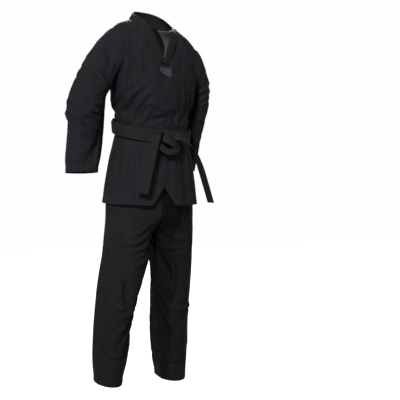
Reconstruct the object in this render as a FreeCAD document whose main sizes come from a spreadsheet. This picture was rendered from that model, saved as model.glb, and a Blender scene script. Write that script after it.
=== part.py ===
import FreeCAD, Part
import os

# A martial arts uniform as it is worn: wrapped jacket, knotted belt and trousers.
# Millimetres. The origin is the middle of the neck's base, +Z points up, the front
# faces -Y and the wearer's left is +X. Every cloth wall is a thin shell between two
# lofts through elliptical rings, trimmed to its pattern piece.

doc = FreeCAD.newDocument("MartialArtsUniform")
sheet = doc.addObject("Spreadsheet::Sheet", "Sizes")

CLOTH_SIZES = {
    "cloth": 2.5,
    "layer": 3.0,
    "hem_cloth": 1.8,
    "gap": 0.3,
    "hem_tall": 32.0,
    "seam_back": 6.0,
    "reach": 240.0,
}

JACKET_SIZES = {
    "waist_cut": 450.0,
    "back_cut": 412.0,
    "armhole_radius": 70.0,
    "armhole_drop": 160.0,
    "pivot_out": 192.0,
    "pivot_back": 5.0,
    "pivot_drop": 120.0,
    "pivot_radius": 84.0,
    "lining_drop": 210.0,
    "collar_cloth": 4.0,
    "collar_tilt": 32.0,
    "collar_cut_front": 28.0,
    "collar_cut_rise": 1.0,
    "lapel_wide": 38.0,
    "lapel_long": 172.0,
    "lapel_lean": 30.5,
    "vee_side": 8.0,
    "vee_drop": 143.0,
    "right_front_low": 128.0,
    "left_front_low": -96.5,
    "patch_wide": 50.0,
    "patch_tall": 38.0,
    "patch_side": 28.0,
    "patch_drop": 218.0,
}

SKIRT_SIZES = {
    "flap_drop": 464.0,
    "tailskirt_drop": 417.0,
    "jacket_hem": 695.0,
    "right_flap_top": 68.0,
    "right_flap_low": -40.0,
    "left_flap_top": -91.0,
    "left_flap_low": 34.0,
    "flap_hem_lean": 4.0,
}

BELT_SIZES = {
    "belt_drop": 407.0,
    "belt_wide": 50.0,
    "belt_thick": 3.2,
    "belt_half_wide": 154.5,
    "belt_half_deep": 127.0,
    "belt_tilt": 11.8,
    "belt_step": 4.0,
    "knot_wide": 72.0,
    "knot_tall": 54.0,
    "knot_deep": 22.5,
    "knot_round": 7.0,
    "knot_front": 157.0,
    "knot_low": 458.0,
    "loop_wide": 34.0,
    "loop_tall": 38.0,
    "loop_deep": 15.0,
    "loop_back": 5.0,
    "loop_side": 9.0,
    "loop_low": 516.0,
    "tail_thick": 4.5,
    "right_tail_long": 186.0,
    "right_tail_lean": 16.0,
    "right_tail_pitch": 5.5,
    "right_tail_out": 100.0,
    "right_tail_front": 160.0,
    "right_tail_low": 642.0,
    "left_tail_near": 38.0,
    "left_tail_split": 120.0,
    "left_tail_out": 188.0,
    "left_tail_high": 428.0,
    "left_tail_low": 685.0,
    "left_tail_front": 181.0,
}

TROUSER_SIZES = {
    "waistband_tall": 42.0,
    "elastic_thick": 1.5,
    "elastic_tall": 34.0,
    "trouser_top": 380.0,
    "eyelet_radius": 4.0,
    "eyelet_wire": 1.0,
    "eyelet_side": 16.0,
    "eyelet_proud": 1.0,
    "fork_radius": 125.0,
    "trouser_hem": 1385.0,
    "centre_gap": 1.0,
}

# Rings of the jacket's trunk: drop below the neck, half width, half depth, set back.
TRUNK = {
    "neck": (0, 80, 68, 12),
    "nape": (15, 100, 76, 12),
    "slope": (40, 140, 88, 10),
    "shoulder": (70, 178, 104, 6),
    "armpit": (120, 186, 120, 2),
    "chest": (200, 180, 128, 0),
    "ribs": (290, 167, 126, 0),
    "waist_top": (374, 146, 117, 0),
    "waist": (402, 142, 114, 0),
    "waist_low": (432, 143, 115, 0),
    "hip": (462, 148, 119, 0),
    "seat": (540, 168, 134, 0),
    "hem": (695, 184, 150, 0),
}

# The stand collar rises behind the neck.
COLLAR = {
    "collar_foot": (-0.5, 80, 68, 12),
    "collar_top": (-46, 75, 63, 24),
}

# Rings of the trousers' top, inside the jacket.
HIPS = {
    "band": (380, 132, 100, 0),
    "band_low": (422, 134, 103, 0),
    "hip_bone": (570, 141, 116, 0),
    "saddle": (700, 168, 124, 0),
    "fork": (860, 170, 112, 0),
}

# Rings of the sleeves: out from the middle, back, drop, half width, half depth, tilt.
RIGHT_SLEEVE = {
    "right_armhole": (194, 5, 157, 106, 107, 90),
    "right_upper_arm": (243, 5, 212, 84, 85, 60),
    "right_above_elbow": (262, 6, 292, 68, 70, 20),
    "right_elbow": (268, 8, 350, 69, 70, 5),
    "right_forearm": (272, 0, 430, 61, 62, 4),
    "right_cuff": (284, -10, 572, 60, 61, 0),
}

LEFT_SLEEVE = {
    "left_armhole": (194, 5, 165, 96, 97, 90),
    "left_upper_arm": (223, 12, 226, 50, 78, 55),
    "left_above_elbow": (206, 20, 305, 38, 66, 15),
    "left_elbow": (204, 30, 350, 38, 62, 0),
    "left_forearm": (192, 52, 440, 37, 57, 0),
    "left_cuff": (200, 95, 572, 34, 50, 0),
}

# Rings of the legs: out from the middle, drop, half width, half depth.
RIGHT_LEG = {
    "right_saddle": (86, 722, 90, 118),
    "right_thigh": (92, 880, 84, 105),
    "right_knee": (127, 1050, 72, 92),
    "right_calf": (148, 1220, 58, 82),
    "right_hem": (158, 1385, 47, 78),
}

LEFT_LEG = {
    "left_saddle": (86, 722, 88, 118),
    "left_thigh": (95, 880, 80, 105),
    "left_knee": (95, 1050, 75, 92),
    "left_calf": (103, 1220, 66, 82),
    "left_hem": (109, 1385, 52, 78),
}

TRUNK_FIELDS = ("drop", "wide", "deep", "back")
SLEEVE_FIELDS = ("out", "back", "drop", "wide", "deep", "tilt")
LEG_FIELDS = ("out", "drop", "wide", "deep")

row = 0


def put_size(name, value):
    """Writes one driving dimension as a plain number with an alias."""
    global row
    row += 1
    sheet.set("A%d" % row, name)
    sheet.set("B%d" % row, str(value))
    sheet.setAlias("B%d" % row, name)


def put_stations(stations, fields):
    for station, values in stations.items():
        for field, value in zip(fields, values):
            put_size("%s_%s" % (station, field), value)


for group in (CLOTH_SIZES, JACKET_SIZES, SKIRT_SIZES, BELT_SIZES, TROUSER_SIZES):
    for size_name, size_value in group.items():
        put_size(size_name, size_value)
for group in (TRUNK, COLLAR, HIPS):
    put_stations(group, TRUNK_FIELDS)
for group in (RIGHT_SLEEVE, LEFT_SLEEVE):
    put_stations(group, SLEEVE_FIELDS)
for group in (RIGHT_LEG, LEFT_LEG):
    put_stations(group, LEG_FIELDS)
doc.recompute()

nodes = []


def size(name):
    return float(sheet.get(name))


def bind(thing, **expressions):
    """Binds properties to sheet expressions; a double underscore stands for a dot."""
    for key, expression in expressions.items():
        thing.setExpression(key.replace("__", "."), expression)


def place(thing, x="0", y="0", z="0"):
    bind(thing, Placement__Base__x=x, Placement__Base__y=y, Placement__Base__z=z)


def ring(name, wide, deep, rotation, x, y, z, deep_first):
    """An ellipse whose longer radius lies along Y when deep_first is set."""
    ellipse = doc.addObject("Part::Ellipse", name)
    if deep_first:
        quarter_turn = FreeCAD.Rotation(FreeCAD.Vector(0, 0, 1), 90)
        ellipse.Placement = FreeCAD.Placement(FreeCAD.Vector(), rotation.multiply(quarter_turn))
        bind(ellipse, MajorRadius=deep, MinorRadius=wide)
    else:
        ellipse.Placement = FreeCAD.Placement(FreeCAD.Vector(), rotation)
        bind(ellipse, MajorRadius=wide, MinorRadius=deep)
    place(ellipse, x, y, z)
    return ellipse


def loft(name, rings):
    result = doc.addObject("Part::Loft", name)
    result.Sections = rings
    result.Solid = True
    result.Ruled = True
    return result


def trunk_loft(name, stations, grow):
    """A loft through level rings, each radius grown by the expression grow."""
    level = FreeCAD.Rotation()
    rings = []
    for station in stations:
        rings.append(ring(
            "%s_%s" % (name, station),
            "Sizes.%s_wide + %s" % (station, grow),
            "Sizes.%s_deep + %s" % (station, grow),
            level, "0", "Sizes.%s_back" % station, "-Sizes.%s_drop" % station, False,
        ))
    return loft(name, rings)


def sleeve_loft(name, stations, side, grow):
    """A loft through rings that tilt from upright at the armhole to level at the cuff."""
    rings = []
    for station in stations:
        tilt = FreeCAD.Rotation(FreeCAD.Vector(0, 1, 0), -side * size(station + "_tilt"))
        rings.append(ring(
            "%s_%s" % (name, station),
            "Sizes.%s_wide + %s" % (station, grow),
            "Sizes.%s_deep + %s" % (station, grow),
            tilt, "%d * Sizes.%s_out" % (side, station),
            "Sizes.%s_back" % station, "-Sizes.%s_drop" % station, True,
        ))
    return loft(name, rings)


def leg_loft(name, stations, side, grow):
    level = FreeCAD.Rotation()
    rings = []
    for station in stations:
        rings.append(ring(
            "%s_%s" % (name, station),
            "Sizes.%s_wide + %s" % (station, grow),
            "Sizes.%s_deep + %s" % (station, grow),
            level, "%d * Sizes.%s_out" % (side, station), "0",
            "-Sizes.%s_drop" % station, True,
        ))
    return loft(name, rings)


def cut(name, base, tool):
    result = doc.addObject("Part::Cut", name)
    result.Base = base
    result.Tool = tool
    return result


def common(name, base, tool):
    result = doc.addObject("Part::Common", name)
    result.Base = base
    result.Tool = tool
    return result


def fuse(name, shapes):
    result = doc.addObject("Part::MultiFuse", name)
    result.Shapes = shapes
    return result


def box(name, x, y, z, length, width, height):
    """An upright box from its lowest corner; every argument is an expression."""
    result = doc.addObject("Part::Box", name)
    bind(result, Length=length, Width=width, Height=height)
    place(result, x, y, z)
    return result


def cylinder(name, axis, x, y, z, radius, length):
    """A round bar along X or Y that starts at the given corner expression."""
    result = doc.addObject("Part::Cylinder", name)
    turn = {"x": (FreeCAD.Vector(0, 1, 0), 90), "y": (FreeCAD.Vector(1, 0, 0), -90)}[axis]
    result.Placement = FreeCAD.Placement(FreeCAD.Vector(), FreeCAD.Rotation(*turn))
    bind(result, Radius=radius, Height=length)
    place(result, x, y, z)
    return result


def front_region(name, side, outline):
    """The front of the trunk on one side of a slanting edge.

    outline lists (drop, edge) pairs from the top down, as numbers in millimetres:
    at each drop below the neck, the cloth runs from that edge to the wearer's side.
    """
    parts = []
    for index in range(len(outline) - 1):
        top_drop, top_edge = outline[index]
        low_drop, low_edge = outline[index + 1]
        wedge = doc.addObject("Part::Wedge", "%s_%d" % (name, index))
        turn = FreeCAD.Rotation(FreeCAD.Vector(1, 0, 0), 90)
        wedge.Placement = FreeCAD.Placement(FreeCAD.Vector(), turn)
        outer = "%d * Sizes.reach" % side
        low, high = "%s" % low_edge, "%s" % top_edge
        bind(
            wedge,
            Ymin="0", Ymax="(%s) - (%s)" % (low_drop, top_drop),
            Zmin="0", Zmax="Sizes.reach", Z2min="0", Z2max="Sizes.reach",
            Xmin=low if side > 0 else outer, Xmax=outer if side > 0 else low,
            X2min=high if side > 0 else outer, X2max=outer if side > 0 else high,
        )
        place(wedge, "0", "Sizes.seam_back", "-(%s)" % low_drop)
        parts.append(wedge)
    return parts[0] if len(parts) == 1 else fuse(name, parts)


def back_region(name, low_drop, top_drop):
    return box(
        name, "-Sizes.reach", "Sizes.seam_back", "-(%s)" % low_drop,
        "2 * Sizes.reach", "Sizes.reach", "(%s) - (%s)" % (low_drop, top_drop),
    )


def node(label, shape):
    """Names a finished sub-part; its label is its file name."""
    shape.Label = label
    nodes.append(shape)
    return shape


# Concentric surfaces of the trunk, from the lining outwards. The wearer's right front
# and the back lie in the first layer, the left front wraps over them in the second,
# and the lapel and patch lie on that.
TRUNK_SKINS = {
    "lining_inner": "-Sizes.cloth - Sizes.hem_cloth",
    "first_inner": "-Sizes.cloth",
    "first_outer": "0",
    "second_inner": "Sizes.layer",
    "second_outer": "Sizes.layer + Sizes.cloth",
    "third_inner": "2 * Sizes.layer",
    "third_outer": "2 * Sizes.layer + Sizes.hem_cloth",
}
skins = {name: trunk_loft(name, TRUNK, grow) for name, grow in TRUNK_SKINS.items()}
lining_shell = cut("lining_shell", skins["first_inner"], skins["lining_inner"])
first_shell = cut("first_shell", skins["first_outer"], skins["first_inner"])
second_shell = cut("second_shell", skins["second_outer"], skins["second_inner"])
between_shell = cut("between_shell", skins["second_inner"], skins["first_outer"])
third_shell = cut("third_shell", skins["third_outer"], skins["third_inner"])

armholes = cylinder(
    "armholes", "x", "-Sizes.reach", "Sizes.pivot_back", "-Sizes.armhole_drop",
    "Sizes.armhole_radius", "2 * Sizes.reach",
)
first_trunk = cut("first_trunk", first_shell, armholes)
second_trunk = cut("second_trunk", second_shell, armholes)
lining_trunk = cut("lining_trunk", lining_shell, armholes)


def jacket_body():
    """Back, two crossing fronts, lining, collar and lapels above the belt."""
    back = back_region("back_area", "Sizes.back_cut", "-Sizes.layer")
    node("back_panel", common("back_panel", first_trunk, back))

    right_area = front_region("right_front_area", -1, [
        ("-Sizes.layer", "-Sizes.neck_wide"),
        ("Sizes.vee_drop", "-Sizes.vee_side"),
        ("Sizes.waist_cut", "Sizes.right_front_low"),
    ])
    node("right_front_panel", common("right_front_panel", first_trunk, right_area))

    left_area = front_region("left_front_area", 1, [
        ("-Sizes.layer", "Sizes.neck_wide"),
        ("Sizes.vee_drop", "-Sizes.vee_side"),
        ("Sizes.waist_cut", "Sizes.left_front_low"),
    ])
    node("left_front_panel", common("left_front_panel", second_trunk, left_area))

    lining_area = back_region("lining_area", "Sizes.lining_drop", "Sizes.layer")
    node("shoulder_lining", common("shoulder_lining", lining_trunk, lining_area))

    patch_area = box(
        "patch_area", "-Sizes.patch_side", "-Sizes.reach", "-Sizes.patch_drop",
        "Sizes.patch_wide", "Sizes.reach", "Sizes.patch_tall",
    )
    node("chest_patch", common("chest_patch", third_shell, patch_area))


def lapel(label, shell, side):
    """A facing strip along one edge of the neck opening."""
    strip = doc.addObject("Part::Box", label + "_strip")
    lean = side * size("lapel_lean")
    strip.Placement = FreeCAD.Placement(
        FreeCAD.Vector(), FreeCAD.Rotation(FreeCAD.Vector(0, 1, 0), lean))
    bind(strip, Length="Sizes.lapel_wide", Width="Sizes.reach", Height="Sizes.lapel_long")
    start = "-Sizes.vee_side"
    if side < 0:
        start = "-Sizes.vee_side - Sizes.lapel_wide * cos(%s)" % abs(lean)
    rise = "0" if side > 0 else "-Sizes.lapel_wide * sin(%s)" % abs(lean)
    place(strip, start, "Sizes.seam_back - Sizes.reach", "-Sizes.vee_drop + %s" % rise)
    level = box(
        label + "_level", "-Sizes.reach", "-Sizes.reach", "-2 * Sizes.vee_drop",
        "2 * Sizes.reach", "2 * Sizes.reach", "2 * Sizes.vee_drop - Sizes.layer",
    )
    node(label, common(label, common(label + "_cloth", shell, strip), level))


def collar():
    """A standing band behind the neck, cut down towards the front."""
    outer = trunk_loft("collar_outer", COLLAR, "0")
    inner = trunk_loft("collar_inner", COLLAR, "-Sizes.collar_cloth")
    shell = cut("collar_shell", outer, inner)
    front = doc.addObject("Part::Box", "collar_front")
    front.Placement = FreeCAD.Placement(
        FreeCAD.Vector(), FreeCAD.Rotation(FreeCAD.Vector(1, 0, 0), size("collar_tilt")))
    bind(front, Length="2 * Sizes.reach", Width="2 * Sizes.reach", Height="Sizes.reach")
    place(
        front, "-Sizes.reach",
        "-2 * Sizes.reach * cos(Sizes.collar_tilt) - Sizes.collar_cut_front",
        "Sizes.collar_cut_rise - 2 * Sizes.reach * sin(Sizes.collar_tilt)",
    )
    node("collar_stand", cut("collar_stand", shell, front))


def flap(side_name, side, shell, top_edge, low_edge):
    """One front skirt of the jacket, with its turned hem inside."""
    outline = [("Sizes.flap_drop", top_edge), ("Sizes.jacket_hem", low_edge)]
    area = front_region(side_name + "_flap_area", side, outline)
    node(side_name + "_front_flap", common(side_name + "_flap", shell, area))


def hem_band(label, outer_skin, inner_skin, region):
    band = cut(label + "_shell", outer_skin, inner_skin)
    node(label, common(label, band, region))


def skirts():
    flap("right", -1, first_shell, "Sizes.right_flap_top", "Sizes.right_flap_low")
    flap("left", 1, second_shell, "Sizes.left_flap_top", "Sizes.left_flap_low")
    tail_area = back_region("back_skirt_area", "Sizes.jacket_hem", "Sizes.tailskirt_drop")
    node("back_skirt_panel", common("back_skirt_cloth", first_shell, tail_area))

    hem_top = "Sizes.jacket_hem - Sizes.hem_tall"
    right_hem = front_region("right_hem_area", -1, [
        (hem_top, "Sizes.right_flap_low + Sizes.flap_hem_lean"),
        ("Sizes.jacket_hem", "Sizes.right_flap_low - Sizes.flap_hem_lean"),
    ])
    node("right_flap_hem", common("right_flap_hem", lining_shell, right_hem))
    left_hem = front_region("left_hem_area", 1, [
        (hem_top, "Sizes.left_flap_low - Sizes.flap_hem_lean"),
        ("Sizes.jacket_hem", "Sizes.left_flap_low + Sizes.flap_hem_lean"),
    ])
    hem_inner = trunk_loft("hem_inner", TRUNK, "Sizes.layer - Sizes.hem_cloth")
    left_shell = cut("left_hem_shell", skins["second_inner"], hem_inner)
    node("left_flap_hem", common("left_flap_hem", left_shell, left_hem))
    back_hem = back_region("back_hem_area", "Sizes.jacket_hem", hem_top)
    node("back_skirt_hem", common("back_skirt_hem", lining_shell, back_hem))


def sleeve(side_name, side, stations):
    """A sleeve split at the shoulder: a fixed cap, a swinging tube and its turned hem."""
    names = list(stations)

    def stretch(part, first, outer_grow, inner_grow):
        """The shell between one ring and the next."""
        label = "%s_%s_%d" % (side_name, part, first)
        rings = names[first:first + 2]
        outer = sleeve_loft(label + "_outer", rings, side, outer_grow)
        inner = sleeve_loft(label + "_inner", rings, side, inner_grow)
        return cut(label, outer, inner)

    turn_x = "%d * Sizes.pivot_out" % side
    cap_area = cylinder(
        side_name + "_cap_area", "y", turn_x, "Sizes.pivot_back - Sizes.reach",
        "-Sizes.pivot_drop", "Sizes.pivot_radius", "2 * Sizes.reach",
    )
    clear_area = cylinder(
        side_name + "_clear_area", "y", turn_x, "Sizes.pivot_back - Sizes.reach",
        "-Sizes.pivot_drop", "Sizes.pivot_radius + 2 * Sizes.gap", "2 * Sizes.reach",
    )
    cap_shell = stretch("cap", 0, "0", "-Sizes.cloth")
    node(side_name + "_shoulder_cap", common(side_name + "_cap", cap_shell, cap_area))
    pieces = [cut(side_name + "_cap_rest", cap_shell, clear_area)]
    for first in range(1, len(names) - 1):
        pieces.append(stretch("tube", first, "0", "-Sizes.cloth"))
    node(side_name + "_sleeve", fuse(side_name + "_tube", pieces))
    hem_area = box(
        side_name + "_cuff_area", "-2 * Sizes.reach", "-Sizes.reach",
        "-Sizes.%s_cuff_drop" % side_name, "4 * Sizes.reach", "2 * Sizes.reach", "Sizes.hem_tall",
    )
    lip = stretch("lip", len(names) - 2, "-Sizes.cloth", "-Sizes.cloth - Sizes.hem_cloth")
    node(side_name + "_cuff_hem", common(side_name + "_cuff_hem", lip, hem_area))


def belt_wrap(label, grow, lower):
    """One turn of the belt: an upright band round the waist, cut off by a slanting slab.

    The slab leans so that the belt lies lower in front than behind.
    """
    level = FreeCAD.Rotation()

    def turn(name, extra):
        rings = []
        for edge, z in (("low", "-2 * Sizes.belt_wide"), ("high", "2 * Sizes.belt_wide")):
            rings.append(ring(
                "%s_%s" % (name, edge),
                "Sizes.belt_half_wide + %s" % extra, "Sizes.belt_half_deep + %s" % extra,
                level, "0", "0", "-Sizes.belt_drop + %s" % z, False,
            ))
        return loft(name, rings)

    outer = turn(label + "_outer", "%s + Sizes.belt_thick" % grow)
    inner = turn(label + "_inner", grow)
    slab = doc.addObject("Part::Box", label + "_slab")
    slab.Placement = FreeCAD.Placement(
        FreeCAD.Vector(), FreeCAD.Rotation(FreeCAD.Vector(1, 0, 0), size("belt_tilt")))
    bind(slab, Length="2 * Sizes.reach", Width="2 * Sizes.reach", Height="Sizes.belt_wide")
    place(
        slab, "-Sizes.reach",
        "0.5 * Sizes.belt_wide * sin(Sizes.belt_tilt) - Sizes.reach * cos(Sizes.belt_tilt)",
        "-Sizes.belt_drop - %s - Sizes.reach * sin(Sizes.belt_tilt)"
        " - 0.5 * Sizes.belt_wide * cos(Sizes.belt_tilt)" % lower,
    )
    node(label, common(label, cut(label + "_band", outer, inner), slab))


def knot():
    """The square knot in front and the bight that hangs below it."""
    body = box(
        "knot_body", "-0.5 * Sizes.knot_wide", "-Sizes.knot_front", "-Sizes.knot_low",
        "Sizes.knot_wide", "Sizes.knot_deep", "Sizes.knot_tall",
    )
    doc.recompute()
    rounded = doc.addObject("Part::Fillet", "knot_rounded")
    rounded.Base = body
    radius = size("knot_round")
    rounded.Edges = [(index + 1, radius, radius) for index in range(len(body.Shape.Edges))]
    node("belt_knot", rounded)

    bight = box(
        "bight_body", "Sizes.loop_side", "-Sizes.knot_front + Sizes.loop_back", "-Sizes.loop_low",
        "Sizes.loop_wide", "Sizes.loop_deep", "Sizes.loop_tall",
    )
    doc.recompute()
    bight_round = doc.addObject("Part::Fillet", "bight_rounded")
    bight_round.Base = bight
    bight_round.Edges = [(index + 1, radius, radius) for index in range(len(bight.Shape.Edges))]
    node("belt_knot_bight", bight_round)


def right_tail():
    """The flat end that hangs down the front, leaning to the wearer's right."""
    strip = doc.addObject("Part::Box", "right_tail_strip")
    lean = FreeCAD.Rotation(FreeCAD.Vector(0, 1, 0), size("right_tail_lean"))
    pitch = FreeCAD.Rotation(FreeCAD.Vector(1, 0, 0), -size("right_tail_pitch"))
    strip.Placement = FreeCAD.Placement(FreeCAD.Vector(), pitch.multiply(lean))
    bind(strip, Length="Sizes.belt_wide", Width="Sizes.tail_thick", Height="Sizes.right_tail_long")
    place(strip, "-Sizes.right_tail_out", "-Sizes.right_tail_front", "-Sizes.right_tail_low")
    node("right_belt_tail", strip)


def left_tail():
    """The stiff end that stands out from the knot and arches down past the hip."""
    face = FreeCAD.Rotation(FreeCAD.Vector(1, 0, 0), -90)

    def arch(name, extra):
        rings = []
        for end, shift in (("front", "0"), ("rear", "Sizes.belt_wide")):
            rings.append(ring(
                "%s_%s" % (name, end),
                "Sizes.left_tail_out - Sizes.left_tail_near + %s" % extra,
                "Sizes.left_tail_low - Sizes.left_tail_high + %s" % extra,
                face, "Sizes.left_tail_near", "-Sizes.left_tail_front + %s" % shift,
                "-Sizes.left_tail_low", True,
            ))
        return loft(name, rings)

    shell = cut("arch_shell", arch("arch_outer", "0"), arch("arch_inner", "-Sizes.tail_thick"))
    root_area = box(
        "arch_root_area", "Sizes.left_tail_near", "-Sizes.reach", "-Sizes.left_tail_low",
        "Sizes.left_tail_split - Sizes.left_tail_near - Sizes.gap", "Sizes.reach", "2 * Sizes.reach",
    )
    node("left_tail_root", common("left_tail_root", shell, root_area))
    end_area = box(
        "arch_end_area", "Sizes.left_tail_split + Sizes.gap", "-Sizes.reach", "-Sizes.left_tail_low",
        "Sizes.reach", "Sizes.reach", "2 * Sizes.reach",
    )
    node("left_belt_tail", common("left_belt_tail", shell, end_area))


def trousers_top():
    """Waistband with its elastic, and four panels down to the fork."""
    outer = trunk_loft("hips_outer", HIPS, "0")
    inner = trunk_loft("hips_inner", HIPS, "-Sizes.cloth")
    shell = cut("hips_shell", outer, inner)
    fork = cylinder(
        "fork_area", "x", "-Sizes.reach", "0", "-Sizes.fork_drop",
        "Sizes.fork_radius", "2 * Sizes.reach",
    )
    cloth = cut("hips_cloth", shell, fork)
    band_low = "-Sizes.trouser_top - Sizes.waistband_tall"
    for side_name, x in (("right", "-Sizes.reach"), ("left", "0")):
        for face_name, y in (("front", "-Sizes.reach"), ("back", "0")):
            quarter = box(
                "%s_%s_quarter" % (side_name, face_name), x, y, "-Sizes.fork_drop",
                "Sizes.reach", "Sizes.reach", "%s + Sizes.fork_drop" % band_low,
            )
            label = "%s_hip_%s" % (side_name, face_name)
            node(label, common(label, cloth, quarter))

    band_area = box(
        "band_area", "-Sizes.reach", "-Sizes.reach", band_low,
        "2 * Sizes.reach", "2 * Sizes.reach", "Sizes.waistband_tall",
    )
    band = common("waistband_cloth", shell, band_area)
    eyelet_holes = []
    for index, side in enumerate((-1, 1)):
        eyelet_holes.append(cylinder(
            "eyelet_hole_%d" % index, "y", "%d * Sizes.eyelet_side" % side, "-Sizes.reach",
            "-Sizes.trouser_top - 0.5 * Sizes.waistband_tall",
            "Sizes.eyelet_radius + Sizes.eyelet_wire", "Sizes.reach",
        ))
    node("waistband", cut("waistband", band, fuse("eyelet_holes", eyelet_holes)))

    elastic_inner = trunk_loft("elastic_inner", HIPS, "-Sizes.cloth - Sizes.elastic_thick")
    elastic = cut("elastic_shell", inner, elastic_inner)
    elastic_area = box(
        "elastic_area", "-Sizes.reach", "-Sizes.reach",
        "-Sizes.trouser_top - 0.5 * (Sizes.waistband_tall + Sizes.elastic_tall)",
        "2 * Sizes.reach", "2 * Sizes.reach", "Sizes.elastic_tall",
    )
    band_loop = common("elastic_loop", elastic, elastic_area)
    gap_front = box(
        "elastic_gap", "-2 * Sizes.eyelet_side", "-Sizes.reach", band_low,
        "4 * Sizes.eyelet_side", "Sizes.reach", "Sizes.waistband_tall",
    )
    node("waist_elastic", cut("waist_elastic", band_loop, gap_front))

    rings = []
    for index, side in enumerate((-1, 1)):
        eyelet = doc.addObject("Part::Torus", "eyelet_%d" % index)
        eyelet.Placement = FreeCAD.Placement(
            FreeCAD.Vector(), FreeCAD.Rotation(FreeCAD.Vector(1, 0, 0), 90))
        bind(eyelet, Radius1="Sizes.eyelet_radius - Sizes.eyelet_wire", Radius2="Sizes.eyelet_wire")
        place(
            eyelet, "%d * Sizes.eyelet_side" % side,
            "Sizes.eyelet_proud + 0.5 * (Sizes.cloth - Sizes.band_deep - Sizes.band_low_deep)",
            "-Sizes.trouser_top - 0.5 * Sizes.waistband_tall",
        )
        rings.append(eyelet)
    pair = doc.addObject("Part::Compound", "eyelet_pair")
    pair.Links = rings
    node("drawstring_eyelets", pair)


def leg(side_name, side, stations):
    """A trouser leg that swings at the fork: front, back and turned hem."""
    outer = leg_loft(side_name + "_leg_outer", stations, side, "0")
    inner = leg_loft(side_name + "_leg_inner", stations, side, "-Sizes.cloth")
    hem_inner = leg_loft(side_name + "_leg_lip", stations, side, "-Sizes.cloth - Sizes.hem_cloth")
    shell = cut(side_name + "_leg_shell", outer, inner)
    round_top = cylinder(
        side_name + "_leg_top", "x", "-Sizes.reach", "0", "-Sizes.fork_drop",
        "Sizes.fork_radius - 2 * Sizes.gap", "2 * Sizes.reach",
    )
    below = box(
        side_name + "_leg_below", "-Sizes.reach", "-Sizes.reach", "-Sizes.trouser_hem",
        "2 * Sizes.reach", "2 * Sizes.reach", "Sizes.trouser_hem - Sizes.fork_drop",
    )
    cloth = common(side_name + "_leg_cloth", shell, fuse(side_name + "_leg_reach", [round_top, below]))
    near = "Sizes.centre_gap" if side > 0 else "-Sizes.reach - Sizes.centre_gap"
    for face_name, y in (("front", "-Sizes.reach"), ("back", "0")):
        half = box(
            "%s_leg_%s_half" % (side_name, face_name), near, y, "-Sizes.trouser_hem",
            "Sizes.reach", "Sizes.reach", "Sizes.trouser_hem",
        )
        label = "%s_leg_%s" % (side_name, face_name)
        node(label, common(label, cloth, half))
    hem_area = box(
        side_name + "_leg_hem_area", "-Sizes.reach", "-Sizes.reach", "-Sizes.trouser_hem",
        "2 * Sizes.reach", "2 * Sizes.reach", "Sizes.hem_tall",
    )
    hem_band(side_name + "_leg_hem", inner, hem_inner, hem_area)


jacket_body()
lapel("right_lapel", between_shell, -1)
lapel("left_lapel", third_shell, 1)
collar()
skirts()
sleeve("right", -1, RIGHT_SLEEVE)
sleeve("left", 1, LEFT_SLEEVE)
belt_wrap("belt_inner_wrap", "0", "-Sizes.belt_step")
belt_wrap("belt_outer_wrap", "Sizes.belt_thick + Sizes.gap", "Sizes.belt_step")
knot()
right_tail()
left_tail()
trousers_top()
leg("right", -1, RIGHT_LEG)
leg("left", 1, LEFT_LEG)
doc.recompute()

for thing in doc.Objects:
    if "Invalid" in thing.State or "Error" in thing.State:
        raise RuntimeError("%s did not compute: %s" % (thing.Name, thing.State))
for thing in nodes:
    if thing.Shape.isNull() or not thing.Shape.isValid() or not thing.Shape.Solids:
        raise RuntimeError("%s has no valid solid" % thing.Label)

os.makedirs("parts", exist_ok=True)
for thing in nodes:
    thing.Shape.exportStep(os.path.join("parts", thing.Label + ".step"))
    bounds = thing.Shape.BoundBox
    print("%-22s solids %d volume %8.1f cm3  x %7.1f %7.1f  y %7.1f %7.1f  z %8.1f %8.1f" % (
        thing.Label, len(thing.Shape.Solids), thing.Shape.Volume / 1000,
        bounds.XMin, bounds.XMax, bounds.YMin, bounds.YMax, bounds.ZMin, bounds.ZMax))
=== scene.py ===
import math

import bpy
import numpy as np
from mathutils import Matrix, Vector


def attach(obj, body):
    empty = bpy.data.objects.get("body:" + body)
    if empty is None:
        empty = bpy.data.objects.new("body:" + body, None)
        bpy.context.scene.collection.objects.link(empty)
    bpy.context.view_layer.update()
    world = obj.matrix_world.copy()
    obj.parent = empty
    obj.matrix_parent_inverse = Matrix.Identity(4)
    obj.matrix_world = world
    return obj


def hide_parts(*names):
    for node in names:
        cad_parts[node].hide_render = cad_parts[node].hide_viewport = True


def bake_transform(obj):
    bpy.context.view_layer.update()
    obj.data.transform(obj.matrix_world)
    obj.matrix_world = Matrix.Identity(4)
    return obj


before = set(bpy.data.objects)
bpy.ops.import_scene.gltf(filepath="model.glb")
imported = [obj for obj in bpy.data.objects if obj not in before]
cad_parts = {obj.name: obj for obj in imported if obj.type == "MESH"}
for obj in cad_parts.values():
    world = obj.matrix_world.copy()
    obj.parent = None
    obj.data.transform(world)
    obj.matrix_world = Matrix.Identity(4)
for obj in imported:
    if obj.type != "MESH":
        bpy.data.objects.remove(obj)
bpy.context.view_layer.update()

# The garment is laid out in millimetres, as in the CAD model, and written in metres.
MM = 0.001
CLOTH_THICK = 1.7
STEP = 5.0

scene = bpy.context.scene


# ---------------------------------------------------------------- camera and studio

CAMERA_TURN = math.radians(-24.0)
CAMERA_DISTANCE = 3.3
CAMERA_HEIGHT = -0.485
CAMERA_ROLL = math.radians(1.6)
# The focal length as a share of the sensor's width, and how far the aim is turned to the
# camera's right and down, as tangents.
FOCAL_SHARE = 2.115
AIM_SIDE = 0.05957
AIM_DROP = 0.05863
FLOOR_HEIGHT = -3.4


def unit(vector):
    vector = np.asarray(vector, float)
    return vector / np.linalg.norm(vector)


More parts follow.
